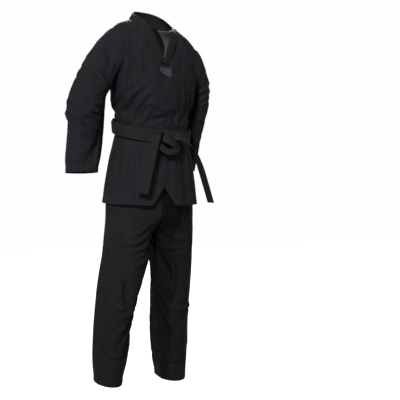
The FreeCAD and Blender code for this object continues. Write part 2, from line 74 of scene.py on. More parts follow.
def make_camera():
    """A long lens, level with the jacket, that looks down a little at the wearer's right front."""
    data = bpy.data.cameras.new("studio_camera")
    data.sensor_width = 36.0
    data.lens = data.sensor_width * FOCAL_SHARE
    camera = bpy.data.objects.new("studio_camera", data)
    scene.collection.objects.link(camera)
    out = np.array([math.sin(CAMERA_TURN), -math.cos(CAMERA_TURN), 0.0])
    side = np.array([math.cos(CAMERA_TURN), math.sin(CAMERA_TURN), 0.0])
    up = np.array([0.0, 0.0, 1.0])
    forward = unit(-out + AIM_SIDE * side - AIM_DROP * up)
    right = unit(np.cross(forward, up))
    over = np.cross(right, forward)
    turned_x = right * math.cos(CAMERA_ROLL) + over * math.sin(CAMERA_ROLL)
    turned_y = over * math.cos(CAMERA_ROLL) - right * math.sin(CAMERA_ROLL)
    place = CAMERA_DISTANCE * out + CAMERA_HEIGHT * up
    matrix = np.eye(4)
    for column, axis in enumerate((turned_x, turned_y, -forward, place)):
        matrix[:3, column] = axis
    camera.matrix_world = Matrix(matrix.tolist())
    scene.camera = camera


def make_sun(name, toward, strength, spread):
    """A soft light with parallel rays; toward points from the garment to the light."""
    data = bpy.data.lights.new(name, "SUN")
    data.energy = strength
    data.angle = math.radians(spread)
    light = bpy.data.objects.new(name, data)
    scene.collection.objects.link(light)
    light.matrix_world = Vector(toward).to_track_quat("Z", "Y").to_matrix().to_4x4()


def make_studio():
    """A pale floor well below the garment, a white surround and two soft suns."""
    scene.view_settings.view_transform = "Standard"
    world = bpy.data.worlds.new("studio_world")
    world.use_nodes = True
    background = world.node_tree.nodes["Background"]
    background.inputs["Color"].default_value = (0.985, 0.99, 1.0, 1.0)
    background.inputs["Strength"].default_value = 1.0
    scene.world = world
    bpy.ops.mesh.primitive_plane_add(size=40.0, location=(0.0, 0.0, FLOOR_HEIGHT))
    floor = bpy.context.active_object
    floor.name = "studio_floor"
    floor.data.materials.append(plain_floor())
    make_sun("key_light", (-0.62, -0.66, 0.56), 8.5, 14.0)
    make_sun("back_light", (0.35, 0.85, 0.4), 6.0, 20.0)


# ---------------------------------------------------------------- materials

class Shader:
    """A material under construction, with short calls for the nodes it needs."""

    def __init__(self, name):
        self.material = bpy.data.materials.new(name)
        self.material.use_nodes = True
        self.tree = self.material.node_tree
        self.surface = self.tree.nodes["Principled BSDF"]

    def put(self, target, value):
        if isinstance(value, bpy.types.NodeSocket):
            self.tree.links.new(value, target)
        else:
            target.default_value = value

    def math(self, operation, first, second=0.0, third=0.0):
        node = self.tree.nodes.new("ShaderNodeMath")
        node.operation = operation
        for target, value in zip(node.inputs, (first, second, third)):
            self.put(target, value)
        return node.outputs["Value"]

    def uv(self, name):
        node = self.tree.nodes.new("ShaderNodeUVMap")
        node.uv_map = name
        split = self.tree.nodes.new("ShaderNodeSeparateXYZ")
        self.put(split.inputs["Vector"], node.outputs["UV"])
        return node.outputs["UV"], split.outputs["X"], split.outputs["Y"]

    def place(self):
        return self.tree.nodes.new("ShaderNodeTexCoord").outputs["Object"]

    def stretched(self, vector, scale):
        node = self.tree.nodes.new("ShaderNodeMapping")
        self.put(node.inputs["Vector"], vector)
        node.inputs["Scale"].default_value = scale
        return node.outputs["Vector"]

    def noise(self, vector, scale, detail=2.0, rough=0.5):
        node = self.tree.nodes.new("ShaderNodeTexNoise")
        self.put(node.inputs["Vector"], vector)
        node.inputs["Scale"].default_value = scale
        node.inputs["Detail"].default_value = detail
        node.inputs["Roughness"].default_value = rough
        return node.outputs["Fac"]

    def remap(self, value, low, high, new_low, new_high):
        node = self.tree.nodes.new("ShaderNodeMapRange")
        self.put(node.inputs["Value"], value)
        ends = {"From Min": low, "From Max": high, "To Min": new_low, "To Max": new_high}
        for key, number in ends.items():
            node.inputs[key].default_value = number
        return node.outputs["Result"]

    def mix(self, factor, first, second):
        node = self.tree.nodes.new("ShaderNodeMix")
        node.data_type = "RGBA"
        self.put(node.inputs["Factor"], factor)
        self.put(node.inputs["A"], first)
        self.put(node.inputs["B"], second)
        return node.outputs["Result"]

    def bump(self, height, distance, below=None):
        node = self.tree.nodes.new("ShaderNodeBump")
        node.inputs["Strength"].default_value = 1.0
        node.inputs["Distance"].default_value = distance
        self.put(node.inputs["Height"], height)
        if below is not None:
            self.put(node.inputs["Normal"], below)
        return node.outputs["Normal"]

    def wave(self, value, pitch):
        """0 to 1 and back once in each pitch along value."""
        turns = self.math("MULTIPLY", value, 2.0 * math.pi / pitch)
        return self.math("MULTIPLY_ADD", self.math("SINE", turns), 0.5, 0.5)

    def band(self, value, middle, half):
        """1 within half of middle, 0 elsewhere."""
        return self.math("COMPARE", value, middle, half)

    def finish(self, colour, roughness, normal, **sockets):
        self.put(self.surface.inputs["Base Color"], colour)
        self.put(self.surface.inputs["Roughness"], roughness)
        if normal is not None:
            self.put(self.surface.inputs["Normal"], normal)
        for key, value in sockets.items():
            self.surface.inputs[key.replace("_", " ")].default_value = value
        return self.material


def rgb(red, green, blue):
    return (red, green, blue, 1.0)


def plain_floor():
    shader = Shader("studio_floor")
    grain = shader.noise(shader.place(), 30.0)
    colour = shader.mix(grain, rgb(0.36, 0.36, 0.365), rgb(0.38, 0.38, 0.38))
    return shader.finish(colour, 0.9, None)


RIB_PITCH = 0.0086
THREAD_PITCH = 0.0011
STITCH_PITCH = 0.0034
STITCH_ROWS = (0.0022, 0.019)


def stitches(shader, edge_uv, rows):
    """Dashes of thread in rows at the given distances from an edge."""
    _, off_edge, along = edge_uv
    dash = shader.math("GREATER_THAN", shader.wave(along, STITCH_PITCH), 0.25)
    total = 0.0
    for distance in rows:
        total = shader.math("ADD", total, shader.band(off_edge, distance, 0.0006))
    return shader.math("MULTIPLY", total, dash), total


def ribbed_cloth(name, dark, light, cool, painted_shade_down=None, painted_shade_inner_half=False):
    """Black cloth with fine raised ribs along its length and stitched hems.

    The fourth argument, if given, paints shade down the piece: two lengths down it in metres,
    then how much darker the painted shade makes the cloth at each. The fifth argument paints
    shade over the cloth more than about 40 mm beyond the ribs' starting line.
    """
    shader = Shader(name)
    cloth, across, along = shader.uv("cloth_uv")
    edge_uv = shader.uv("edge_uv")
    wander = shader.noise(shader.stretched(cloth, (60.0, 4.0, 1.0)), 1.0)
    across = shader.math("MULTIPLY_ADD", wander, 0.0012, across)
    rib = shader.wave(across, RIB_PITCH)
    rib = shader.math("POWER", rib, 1.4)
    fine = shader.math("MULTIPLY", shader.wave(across, THREAD_PITCH), shader.wave(along, THREAD_PITCH))
    fuzz = shader.noise(shader.stretched(cloth, (1400.0, 420.0, 1.0)), 1.0, 3.0, 0.6)
    tone = shader.noise(shader.place(), 7.0, 3.0, 0.55)
    patchy = shader.noise(shader.place(), 26.0, 2.0, 0.5)
    base = shader.mix(rib, dark, light)
    base = shader.mix(shader.remap(tone, 0.42, 0.6, 0.0, 0.55), base, cool)
    base = shader.mix(shader.remap(patchy, 0.4, 0.75, 0.0, 0.35), base, dark)
    base = shader.mix(shader.remap(fuzz, 0.45, 0.8, 0.0, 0.5), base, light)
    dashes, rows = stitches(shader, edge_uv, STITCH_ROWS)
    base = shader.mix(shader.math("MULTIPLY", dashes, 0.7), base, rgb(0.015, 0.0145, 0.0155))
    # Painted shade: the cloth is made darker towards the foot of the piece.
    if painted_shade_down is not None:
        base = shader.mix(shader.remap(along, *painted_shade_down), base, rgb(0.0, 0.0, 0.0))
    # Painted shade: the inner half of the piece is made darker.
    if painted_shade_inner_half:
        base = shader.mix(shader.remap(across, 0.028, 0.046, 0.0, 0.5), base, rgb(0.0, 0.0, 0.0))
    rough = shader.remap(fuzz, 0.3, 0.7, 0.62, 0.86)
    seam = shader.math("SUBTRACT", dashes, shader.math("MULTIPLY", rows, 0.7))
    crumple = shader.noise(shader.stretched(cloth, (34.0, 16.0, 1.0)), 1.0, 4.0, 0.6)
    normal = shader.bump(crumple, 0.004)
    normal = shader.bump(rib, 0.0005, normal)
    normal = shader.bump(fine, 0.00016, normal)
    normal = shader.bump(fuzz, 0.00022, normal)
    normal = shader.bump(seam, 0.0006, normal)
    return shader.finish(base, rough, normal, Specular_IOR_Level=0.02)


def plain_weave(name, dark, light, pitch, level, rows=()):
    """A closely woven plain cloth: lining, patch or webbing."""
    shader = Shader(name)
    cloth, across, along = shader.uv("cloth_uv")
    warp = shader.wave(across, pitch)
    weft = shader.wave(along, pitch)
    over = shader.math("MULTIPLY", warp, weft)
    under = shader.math("MULTIPLY", shader.math("SUBTRACT", 1.0, warp), shader.math("SUBTRACT", 1.0, weft))
    weave = shader.math("ADD", over, under)
    fuzz = shader.noise(shader.stretched(cloth, (900.0, 900.0, 1.0)), 1.0, 3.0, 0.6)
    tone = shader.noise(shader.place(), 18.0, 3.0, 0.55)
    base = shader.mix(weave, dark, light)
    base = shader.mix(shader.remap(tone, 0.35, 0.7, 0.0, 0.45), base, dark)
    base = shader.mix(shader.remap(fuzz, 0.45, 0.8, 0.0, 0.4), base, light)
    normal = shader.bump(weave, 0.0003)
    normal = shader.bump(fuzz, 0.0003, normal)
    if rows:
        dashes, lines = stitches(shader, shader.uv("edge_uv"), rows)
        base = shader.mix(shader.math("MULTIPLY", dashes, 0.4), base, light)
        seam = shader.math("SUBTRACT", dashes, shader.math("MULTIPLY", lines, 0.8))
        normal = shader.bump(seam, 0.0006, normal)
    rough = shader.remap(fuzz, 0.3, 0.7, 0.6, 0.85)
    return shader.finish(base, rough, normal, Specular_IOR_Level=level)


def brushed_metal(name):
    shader = Shader(name)
    grain = shader.noise(shader.place(), 900.0, 3.0)
    colour = shader.mix(grain, rgb(0.05, 0.05, 0.055), rgb(0.12, 0.12, 0.13))
    return shader.finish(
        colour, shader.remap(grain, 0.3, 0.7, 0.25, 0.5), shader.bump(grain, 0.0001), Metallic=1.0,
    )


# ---------------------------------------------------------------- smooth curves and noise

def monotone(knots, values):
    """A smooth curve through the values that doesn't overshoot between them."""
    knots = np.asarray(knots, float)
    values = np.asarray(values, float)
    gap = np.diff(knots)
    rise = np.diff(values) / gap
    slope = np.concatenate(([rise[0]], np.zeros(len(knots) - 2), [rise[-1]]))
    for index in range(1, len(knots) - 1):
        if rise[index - 1] * rise[index] > 0:
            slope[index] = 2 / (1 / rise[index - 1] + 1 / rise[index])

    def curve(where):
        where = np.clip(where, knots[0], knots[-1])
        index = np.clip(np.searchsorted(knots, where, side="right") - 1, 0, len(knots) - 2)
        share = (where - knots[index]) / gap[index]
        return (
            values[index] * (1 + 2 * share) * (1 - share) ** 2
            + slope[index] * gap[index] * share * (1 - share) ** 2
            + values[index + 1] * share ** 2 * (3 - 2 * share)
            + slope[index + 1] * gap[index] * share ** 2 * (share - 1)
        )

    return curve


def flowing(points, count):
    """A smooth curve near given points, as count points (Catmull-Rom)."""
    points = np.asarray(points, float)
    padded = np.vstack([2 * points[0] - points[1], points, 2 * points[-1] - points[-2]])
    where = np.linspace(0, len(points) - 1, count)
    index = np.clip(where.astype(int), 0, len(points) - 2)
    share = (where - index)[:, None]
    before, start, end, after = (padded[index + step] for step in range(4))
    return 0.5 * (
        2 * start + (end - before) * share
        + (2 * before - 5 * start + 4 * end - after) * share ** 2
        + (3 * start - before - 3 * end + after) * share ** 3
    )


def ease(value):
    value = np.clip(value, 0.0, 1.0)
    return value * value * (3 - 2 * value)


def lattice_noise(across, along, seed):
    """Smooth noise from -1 to 1 with bumps about one unit apart."""
    table = np.random.RandomState(seed).uniform(-1, 1, (64, 64))
    low_a = np.floor(across).astype(int)
    low_b = np.floor(along).astype(int)
    share_a = ease(across - low_a)
    share_b = ease(along - low_b)

    def corner(step_a, step_b):
        return table[(low_a + step_a) % 64, (low_b + step_b) % 64]

    near = corner(0, 0) * (1 - share_a) + corner(1, 0) * share_a
    far = corner(0, 1) * (1 - share_a) + corner(1, 1) * share_a
    return near * (1 - share_b) + far * share_b


def wrinkles(across, along, seed, wide, long, height):
    """Soft crests, wide apart across and long along, with a finer set between them."""
    bend = lattice_noise(across / (3 * wide), along / (2 * long), seed + 1)
    broad = lattice_noise(across / wide + bend, along / long, seed)
    crest = 1 - 2 * np.abs(broad)
    finer = lattice_noise(2.1 * across / wide + 2 * bend, 1.9 * along / long, seed + 2)
    return height * (0.6 * broad + 0.3 * crest + 0.25 * finer)


# Folds are drawn as seen from the front or the back: width and height in millimetres,
# then the (x, z) points that the crest runs through. FOLD_DEPTH scales all the heights.
FOLD_DEPTH = 1.5


def fold_heights(points, normals, folds):
    """How far the folds raise each point along its normal."""
    total = np.zeros(points.shape[:-1])
    flat = points[..., [0, 2]]
    for facing, wide, height, line in folds:
        seen = ease(0.5 + 1.6 * (-normals[..., 1] if facing == "front" else normals[..., 1]))
        route = flowing(line, 6 * len(line))
        nearest = np.full(total.shape, 1e9)
        signed = np.zeros(total.shape)
        share = np.zeros(total.shape)
        for index in range(len(route) - 1):
            start = route[index]
            run = route[index + 1] - start
            length = max(np.dot(run, run), 1e-9)
            part = np.clip(((flat - start) @ run) / length, 0, 1)
            away = flat - start - part[..., None] * run
            distance = np.hypot(away[..., 0], away[..., 1])
            closer = distance < nearest
            side = np.sign(run[0] * away[..., 1] - run[1] * away[..., 0])
            signed = np.where(closer, side * distance, signed)
            share = np.where(closer, (index + part) / (len(route) - 1), share)
            nearest = np.minimum(nearest, distance)
        taper = np.sin(np.pi * np.clip(share, 0.0, 1.0)) ** 0.6
        crest = np.exp(-(signed / wide) ** 2)
        valley = np.exp(-((signed - 1.5 * wide) / wide) ** 2)
        valley += 0.6 * np.exp(-((signed + 1.6 * wide) / wide) ** 2)
        total = total + FOLD_DEPTH * seen * taper * height * (crest - 0.7 * valley)
    return total


# ---------------------------------------------------------------- cloth pieces from grids

def grid_normals(grid, closed):
    """Unit normals of a grid of points; rows run down, columns run round."""
    if closed:
        around = np.roll(grid, -1, axis=1) - np.roll(grid, 1, axis=1)
    else:
        around = np.gradient(grid, axis=1)
    down = np.gradient(grid, axis=0)
    normal = np.cross(around, down)
    return normal / np.maximum(np.linalg.norm(normal, axis=2, keepdims=True), 1e-9)


def grid_lengths(grid, axis):
    """Distance run from the first point along one axis of the grid."""
    steps = np.linalg.norm(np.diff(grid, axis=axis), axis=2)
    return np.concatenate([np.zeros_like(np.take(steps, [0], axis)), np.cumsum(steps, axis)], axis)


def evened(values, closed, reach):
    """The values of a grid averaged over its neighbours out to reach places."""
    for axis in (0, 1):
        mode = "wrap" if closed and axis == 1 else "edge"
        wide = [(0, 0)] * values.ndim
        wide[axis] = (reach, reach)
        padded = np.pad(values, wide, mode=mode)
        total = np.zeros_like(values)
        for step in range(2 * reach + 1):
            total += np.take(padded, np.arange(values.shape[axis]) + step, axis=axis)
        values = total / (2 * reach + 1)
    return values


def settle(grid, closed, pin, growth=0.03, frames=16, reach=12.0, sag=0.6, strength=1.2):
    """Lets a loosely pinned cloth buckle by cloth simulation; returns how far each point moves.

    The cloth is a little larger than the form it hangs on, so it finds its own folds. Only
    the folds are kept, and any general shift of the cloth is taken off.
    """
    rows, columns = grid.shape[:2]
    faces = quads(rows, columns, closed)
    mesh = bpy.data.meshes.new("settling")
    mesh.from_pydata((grid.reshape(-1, 3) * MM).tolist(), [], faces.tolist())
    piece = bpy.data.objects.new("settling", mesh)
    scene.collection.objects.link(piece)
    group = piece.vertex_groups.new(name="held")
    for index, weight in enumerate(pin.reshape(-1)):
        group.add([index], float(weight), "REPLACE")
    cloth = piece.modifiers.new("cloth", "CLOTH")
    cloth.settings.vertex_group_mass = "held"
    cloth.settings.pin_stiffness = 0.9
    cloth.settings.quality = 4
    cloth.settings.mass = 0.25
    cloth.settings.tension_stiffness = 12.0
    cloth.settings.compression_stiffness = 12.0
    cloth.settings.shear_stiffness = 5.0
    cloth.settings.bending_stiffness = 0.25
    cloth.settings.shrink_min = -growth
    cloth.settings.effector_weights.gravity = sag
    cloth.collision_settings.use_collision = False
    cloth.collision_settings.use_self_collision = False
    cloth.point_cache.frame_start = 1
    cloth.point_cache.frame_end = frames
    for number in range(1, frames + 1):
        scene.frame_set(number)
    shaped = piece.evaluated_get(bpy.context.evaluated_depsgraph_get()).to_mesh()
    moved = np.zeros(rows * columns * 3, np.float32)
    shaped.vertices.foreach_get("co", moved)
    moved = moved.reshape(rows, columns, 3).astype(float) / MM - grid
    bpy.data.objects.remove(piece)
    bpy.data.meshes.remove(mesh)
    scene.frame_set(1)
    moved = moved - evened(evened(moved, closed, 5), closed, 5)
    length = np.maximum(np.linalg.norm(moved, axis=2, keepdims=True), 1e-9)
    return strength * moved * np.minimum(1.0, reach / length)


def resample(coarse, rows, columns, closed):
    """Spreads a coarse grid of values smoothly over a finer one."""
    down = np.linspace(0, coarse.shape[0] - 1, rows)
    last = coarse.shape[1] if closed else coarse.shape[1] - 1
    round_ = np.linspace(0, last, columns, endpoint=not closed)
    high = np.clip(down.astype(int), 0, coarse.shape[0] - 2)
    side = round_.astype(int)
    if not closed:
        side = np.clip(side, 0, coarse.shape[1] - 2)
    next_side = (side + 1) % coarse.shape[1]
    share_down = ease(down - high)[:, None, None]
    share_side = ease(round_ - side)[None, :, None]
    top = coarse[high][:, side] * (1 - share_side) + coarse[high][:, next_side] * share_side
    low = coarse[high + 1][:, side] * (1 - share_side) + coarse[high + 1][:, next_side] * share_side
    return top * (1 - share_down) + low * share_down


def settled(grid, closed, pin, stride=2, **options):
    """Runs settle on every second row and column, and spreads the result over all."""
    coarse = settle(grid[::stride, ::stride], closed, pin[::stride, ::stride], **options)
    return resample(coarse, grid.shape[0], grid.shape[1], closed)


def quads(rows, columns, closed):
    wide = columns if closed else columns - 1
    row, column = np.meshgrid(np.arange(rows - 1), np.arange(wide), indexing="ij")
    following = (column + 1) % columns
    corners = (row * columns + column, row * columns + following,
               (row + 1) * columns + following, (row + 1) * columns + column)
    return np.stack([corner.reshape(-1) for corner in corners], axis=1)


def joined_up(rows, columns, closed_rows, closed_columns):
    """For each point of a grid, the point it shares when the last line repeats the first."""
    row, column = np.meshgrid(np.arange(rows), np.arange(columns), indexing="ij")
    if closed_rows:
        row = row % (rows - 1)
    if closed_columns:
        column = column % (columns - 1)
    return (row * columns + column).reshape(-1)


def new_piece(name, points, faces, maps, material, shared=None):
    """A smooth-shaded object whose UV maps hold lengths in metres.

    shared names, for each point, the point that stands in for it, so that a closed
    piece has no open edge although its UV maps have a seam.
    """
    loops = faces.reshape(-1)
    if shared is not None:
        kept, faces = np.unique(shared[faces], return_inverse=True)
        points = points[kept]
        faces = faces.reshape(-1, 4)
    mesh = bpy.data.meshes.new(name)
    mesh.from_pydata((points * MM).tolist(), [], faces.tolist())
    for map_name, values in maps.items():
        layer = mesh.uv_layers.new(name=map_name)
        layer.data.foreach_set("uv", (values[loops] * MM).astype(np.float32).reshape(-1))
    mesh.polygons.foreach_set("use_smooth", [True] * len(mesh.polygons))
    mesh.materials.append(material)
    mesh.validate()
    mesh.update()
    piece = bpy.data.objects.new(name, mesh)
    scene.collection.objects.link(piece)
    return piece


def cloth_maps(grid, grain, stitched, ribs_from):
    """Lengths across and along the cloth, and to the nearest stitched edge.

    grain is the column that the ribs run parallel to, and ribs_from how far that column
    is from the line that the ribs start at. stitched names the edges with stitching:
    "first" and "last" columns, "top" and "foot" rows.
    """
    across = grid_lengths(grid, 1)
    along = grid_lengths(grid, 0)
    centre = across[:, [grain]]
    cloth = np.stack([across - centre + ribs_from, along], axis=2)
    options = []
    if "foot" in stitched:
        options.append((along[[-1]] - along, across - centre))
    if "top" in stitched:
        options.append((along, across - centre))
    if "first" in stitched:
        options.append((across, along))
    if "last" in stitched:
        options.append((across[:, [-1]] - across, along))
    edge = np.full(grid.shape[:2] + (2,), 1000.0)
    for distance, run in options:
        closer = distance < edge[..., 0]
        edge = np.where(closer[..., None], np.stack([distance, run], axis=2), edge)
    return {"cloth_uv": cloth.reshape(-1, 2), "edge_uv": edge.reshape(-1, 2)}


def cloth_piece(name, grid, material, closed=False, grain=0, stitched=(), thick=CLOTH_THICK,
                ribs_from=0.0):
    """A sheet of cloth with its outer face on the grid, real thickness and closed edges.

    The face is on the side from which the rows run down and the columns run to the right.
    """
    rows, columns = grid.shape[:2]
    if closed:
        grid = np.concatenate([grid, grid[:, :1]], axis=1)
        columns += 1
    normals = grid_normals(grid, False)
    if closed:
        seam = grid_normals(grid[:, :-1], True)
        normals = np.concatenate([seam, seam[:, :1]], axis=1)
    outer = grid.reshape(-1, 3)
    inner = (grid - thick * normals).reshape(-1, 3)
    count = rows * columns
    face = quads(rows, columns, False)
    index = np.arange(count).reshape(rows, columns)
    rims = [index[0, ::-1], index[-1]]
    if not closed:
        rims += [index[:, 0], index[::-1, -1]]
    pieces = [face, face[:, ::-1] + count]
    for rim in rims:
        pieces.append(np.stack([rim[:-1], rim[1:], rim[1:] + count, rim[:-1] + count], axis=1))
    maps = cloth_maps(grid, grain, stitched, ribs_from)
    maps = {key: np.vstack([values, values]) for key, values in maps.items()}
    shared = joined_up(rows, columns, False, closed)
    shared = np.concatenate([shared, shared + count])
    return new_piece(name, np.vstack([outer, inner]), np.vstack(pieces), maps, material, shared)


# ---------------------------------------------------------------- the jacket's trunk

# Drop below the neck, half width, half depth and set back of the trunk's ring, from the
# neck to the hem.
TRUNK = np.array([
    (0, 80, 68, 12),
    (15, 104, 76, 12),
    (36, 140, 88, 10),
    (64, 174, 103, 6),
    (90, 183, 112, 4),
    (120, 185, 120, 2),
    (200, 178, 128, 0),
    (290, 164, 125, 0),
    (374, 145, 117, 0),
    (402, 142, 114, 0),
    (432, 143, 115, 0),
    (462, 148, 119, 0),
    (540, 167, 134, 0),
    (695, 186, 150, 0),
], float)
trunk_wide = monotone(TRUNK[:, 0], TRUNK[:, 1])
trunk_deep = monotone(TRUNK[:, 0], TRUNK[:, 2])
trunk_back = monotone(TRUNK[:, 0], TRUNK[:, 3])

SEAM_BACK = 6.0
SHOULDER_TILT = 0.165
JACKET_HEM = 695.0
ARMHOLE = {"drop": 150.0, "back": 5.0, "tall": 88.0, "deep": 74.0}
RIGHT_LAYER = 0.0
LEFT_LAYER = 2.6


def shoulder_rise(x, drop):
    """The wearer's right shoulder stands a little higher than the left."""
    return -SHOULDER_TILT * x * (1 - ease((drop - 110.0) / 190.0))


def trunk_point(angle, drop, grow):
    """Angle 0 is the front, 90 degrees the wearer's left, 180 the back."""
    x = (trunk_wide(drop) + grow) * np.sin(angle)
    y = trunk_back(drop) - (trunk_deep(drop) + grow) * np.cos(angle)
    return np.stack([x, y, shoulder_rise(x, drop) - drop + 0 * x], axis=-1)


def trunk_angle(x, drop, grow):
    """The front angle at which the trunk passes through x."""
    return np.arcsin(np.clip(x / (trunk_wide(drop) + grow), -1, 1))


def side_angle(drop, grow, facing):
    """Where a panel ends at the side: the seam, or the armhole's edge."""
    inside = np.clip(1 - ((drop - ARMHOLE["drop"]) / ARMHOLE["tall"]) ** 2, 0, 1)
    notch = ARMHOLE["deep"] * np.sqrt(inside)
    y = SEAM_BACK + (notch if facing == "back" else -notch)
    return np.arccos(np.clip((trunk_back(drop) - y) / (trunk_deep(drop) + grow), -1, 1))


# Folds of the jacket as (facing, width, height, crest line of (x, z)).
TRUNK_FOLDS = [
    ("front", 11, 5.0, [(-120, -395), (-108, -340), (-78, -285), (-40, -255)]),
    ("front", 9, 4.5, [(-140, -330), (-125, -285), (-92, -255)]),
    ("front", 8, 4.0, [(-95, -398), (-72, -372), (-58, -330)]),
    ("front", 8, 3.5, [(-60, -405), (-30, -385), (6, -378)]),
    ("front", 9, 4.5, [(30, -205), (62, -235), (80, -290), (84, -350)]),
    ("front", 8, 4.0, [(60, -220), (96, -265), (108, -330), (112, -390)]),
    ("front", 9, 3.5, [(112, -180), (126, -230), (128, -290)]),
    ("front", 12, 4.0, [(-150, -110), (-142, -180), (-150, -240), (-148, -300)]),
    ("front", 12, 3.5, [(-120, -120), (-100, -165), (-92, -200)]),
    ("front", 14, 3.0, [(-118, -70), (-80, -118), (-50, -150)]),
    ("front", 12, 3.0, [(60, -90), (100, -120), (126, -160)]),
    ("front", 9, 3.0, [(20, -402), (24, -370), (18, -340)]),
    ("front", 9, 3.0, [(60, -400), (62, -372), (70, -345)]),
    ("front", 14, 4.5, [(90, -480), (110, -560), (118, -640)]),
    ("front", 12, 3.5, [(-130, -470), (-140, -540), (-150, -620)]),
    ("front", 10, 3.0, [(-96, -585), (-70, -560), (-40, -556)]),
    ("front", 10, 3.0, [(60, -470), (40, -520), (30, -570)]),
    ("back", 13, 4.5, [(-130, -250), (-100, -200), (-60, -170)]),
    ("back", 13, 4.5, [(130, -250), (104, -205), (60, -175)]),
    ("back", 12, 4.0, [(-110, -370), (-80, -320), (-30, -290)]),
    ("back", 12, 4.0, [(112, -370), (84, -325), (40, -300)]),
    ("back", 10, 3.5, [(-40, -378), (-34, -340), (-38, -300)]),
    ("back", 10, 3.5, [(44, -378), (38, -345), (42, -305)]),
    ("back", 15, 5.0, [(-96, -430), (-106, -520), (-118, -660)]),
    ("back", 15, 5.0, [(40, -430), (46, -520), (60, -680)]),
    ("back", 15, 4.5, [(-30, -430), (-34, -540), (-30, -680)]),
    ("back", 15, 4.5, [(112, -430), (122, -540), (134, -670)]),
]

FIELD_ROWS = 120
FIELD_COLUMNS = 180


def make_trunk_field():
    """How far the jacket's trunk is pushed off its plain form, shared by all its layers."""
    drop = np.linspace(0, JACKET_HEM, FIELD_ROWS)[:, None]
    angle = np.linspace(-math.pi, math.pi, FIELD_COLUMNS, endpoint=False)[None, :]
    form = trunk_point(angle + 0 * drop, drop + 0 * angle, 0.0)
    normal = -grid_normals(form, True)
    normal = np.where((normal * (form * (1, 1, 0))).sum(2, keepdims=True) < 0, -normal, normal)
    around = angle * 130.0 + 0 * drop
    down = drop + 0 * angle
    height = wrinkles(around, down, 11, 55.0, 120.0, 3.2)
    gather = wrinkles(around, down, 12, 20.0, 70.0, 3.0)
    height += gather * np.exp(-((down - 365.0) / 45.0) ** 2)
    height += gather * np.exp(-((down - 470.0) / 40.0) ** 2) * 0.4
    height += fold_heights(form, normal, TRUNK_FOLDS)
    belt_line = 407.0 + 26.0 * np.cos(angle)
    free = ease((np.abs(down - belt_line) - 22.0) / 26.0)
    free = free * ease(down / 60.0)
    field = normal * (height * free)[..., None]
    loose = 0.16 + 0.84 * (1 - free)
    field += settled(form + field, True, loose, growth=0.025, reach=9.0, strength=0.8) * free[..., None]
    return field


def sample_field(field, angle, drop):
    """The trunk's push at any angle and drop."""
    down = np.clip(drop / JACKET_HEM * (FIELD_ROWS - 1), 0, FIELD_ROWS - 1.001)
    side = ((angle + math.pi) / (2 * math.pi) * FIELD_COLUMNS) % FIELD_COLUMNS
    high = down.astype(int)
    left = side.astype(int) % FIELD_COLUMNS
    right = (left + 1) % FIELD_COLUMNS
    share_down = (down - high)[..., None]
    share_side = (side - np.floor(side))[..., None]
    top = field[high, left] * (1 - share_side) + field[high, right] * share_side
    low = field[high + 1, left] * (1 - share_side) + field[high + 1, right] * share_side
    return top * (1 - share_down) + low * share_down


def on_trunk(angle, drop, grow):
    """Points of a layer of the jacket, folds and all."""
    return trunk_point(angle, drop, grow) + sample_field(trunk_field, angle, drop)


def hem_roll(drop, foot, tall=20.0, height=0.9):
    """The doubled cloth of a turned hem stands a little proud."""
    return height * ease((drop - (foot - tall)) / 3.0)


def panel(edge_of, side_of, grow, columns):
    """A trunk panel between two edges given as angles for each drop."""
    share = np.linspace(0, 1, columns)[None, :]
    drop = np.linspace(0, JACKET_HEM, int(JACKET_HEM / STEP))[:, None] + 0 * share
    start = edge_of(drop[:, :1])
    angle = start + (side_of(drop[:, :1]) - start) * share
    return on_trunk(angle, drop, grow) + hem_roll(drop, JACKET_HEM)[..., None] * outward(angle)


def outward(angle):
    return np.stack([np.sin(angle), -np.cos(angle), 0 * angle], axis=-1)


# The wrap edges of the two fronts: drop below the neck, then x.
RIGHT_EDGE = [
    (0, -84), (60, -58), (104, -40), (143, -24), (182, 0), (300, 44), (420, 58), (530, 46),
    (600, 17), (640, -14), (695, -50),
]
LEFT_EDGE = [
    (0, 84), (60, 42), (104, 16), (143, -2), (172, -18), (300, -66), (400, -92), (500, -88),
    (582, -58), (626, -5), (695, 40),
]


def wrap_edge(points, grow):
    curve = monotone([drop for drop, _ in points], [x for _, x in points])
    return lambda drop: trunk_angle(curve(drop), drop, grow)


def round_trunk(angle, drop):
    """The length round the trunk from its front centre to an angle."""
    turn = angle[..., None] * (np.arange(24) + 0.5) / 24
    wide = trunk_wide(drop)[..., None] * np.cos(turn)
    deep = trunk_deep(drop)[..., None] * np.sin(turn)
    return angle * np.hypot(wide, deep).mean(axis=-1)


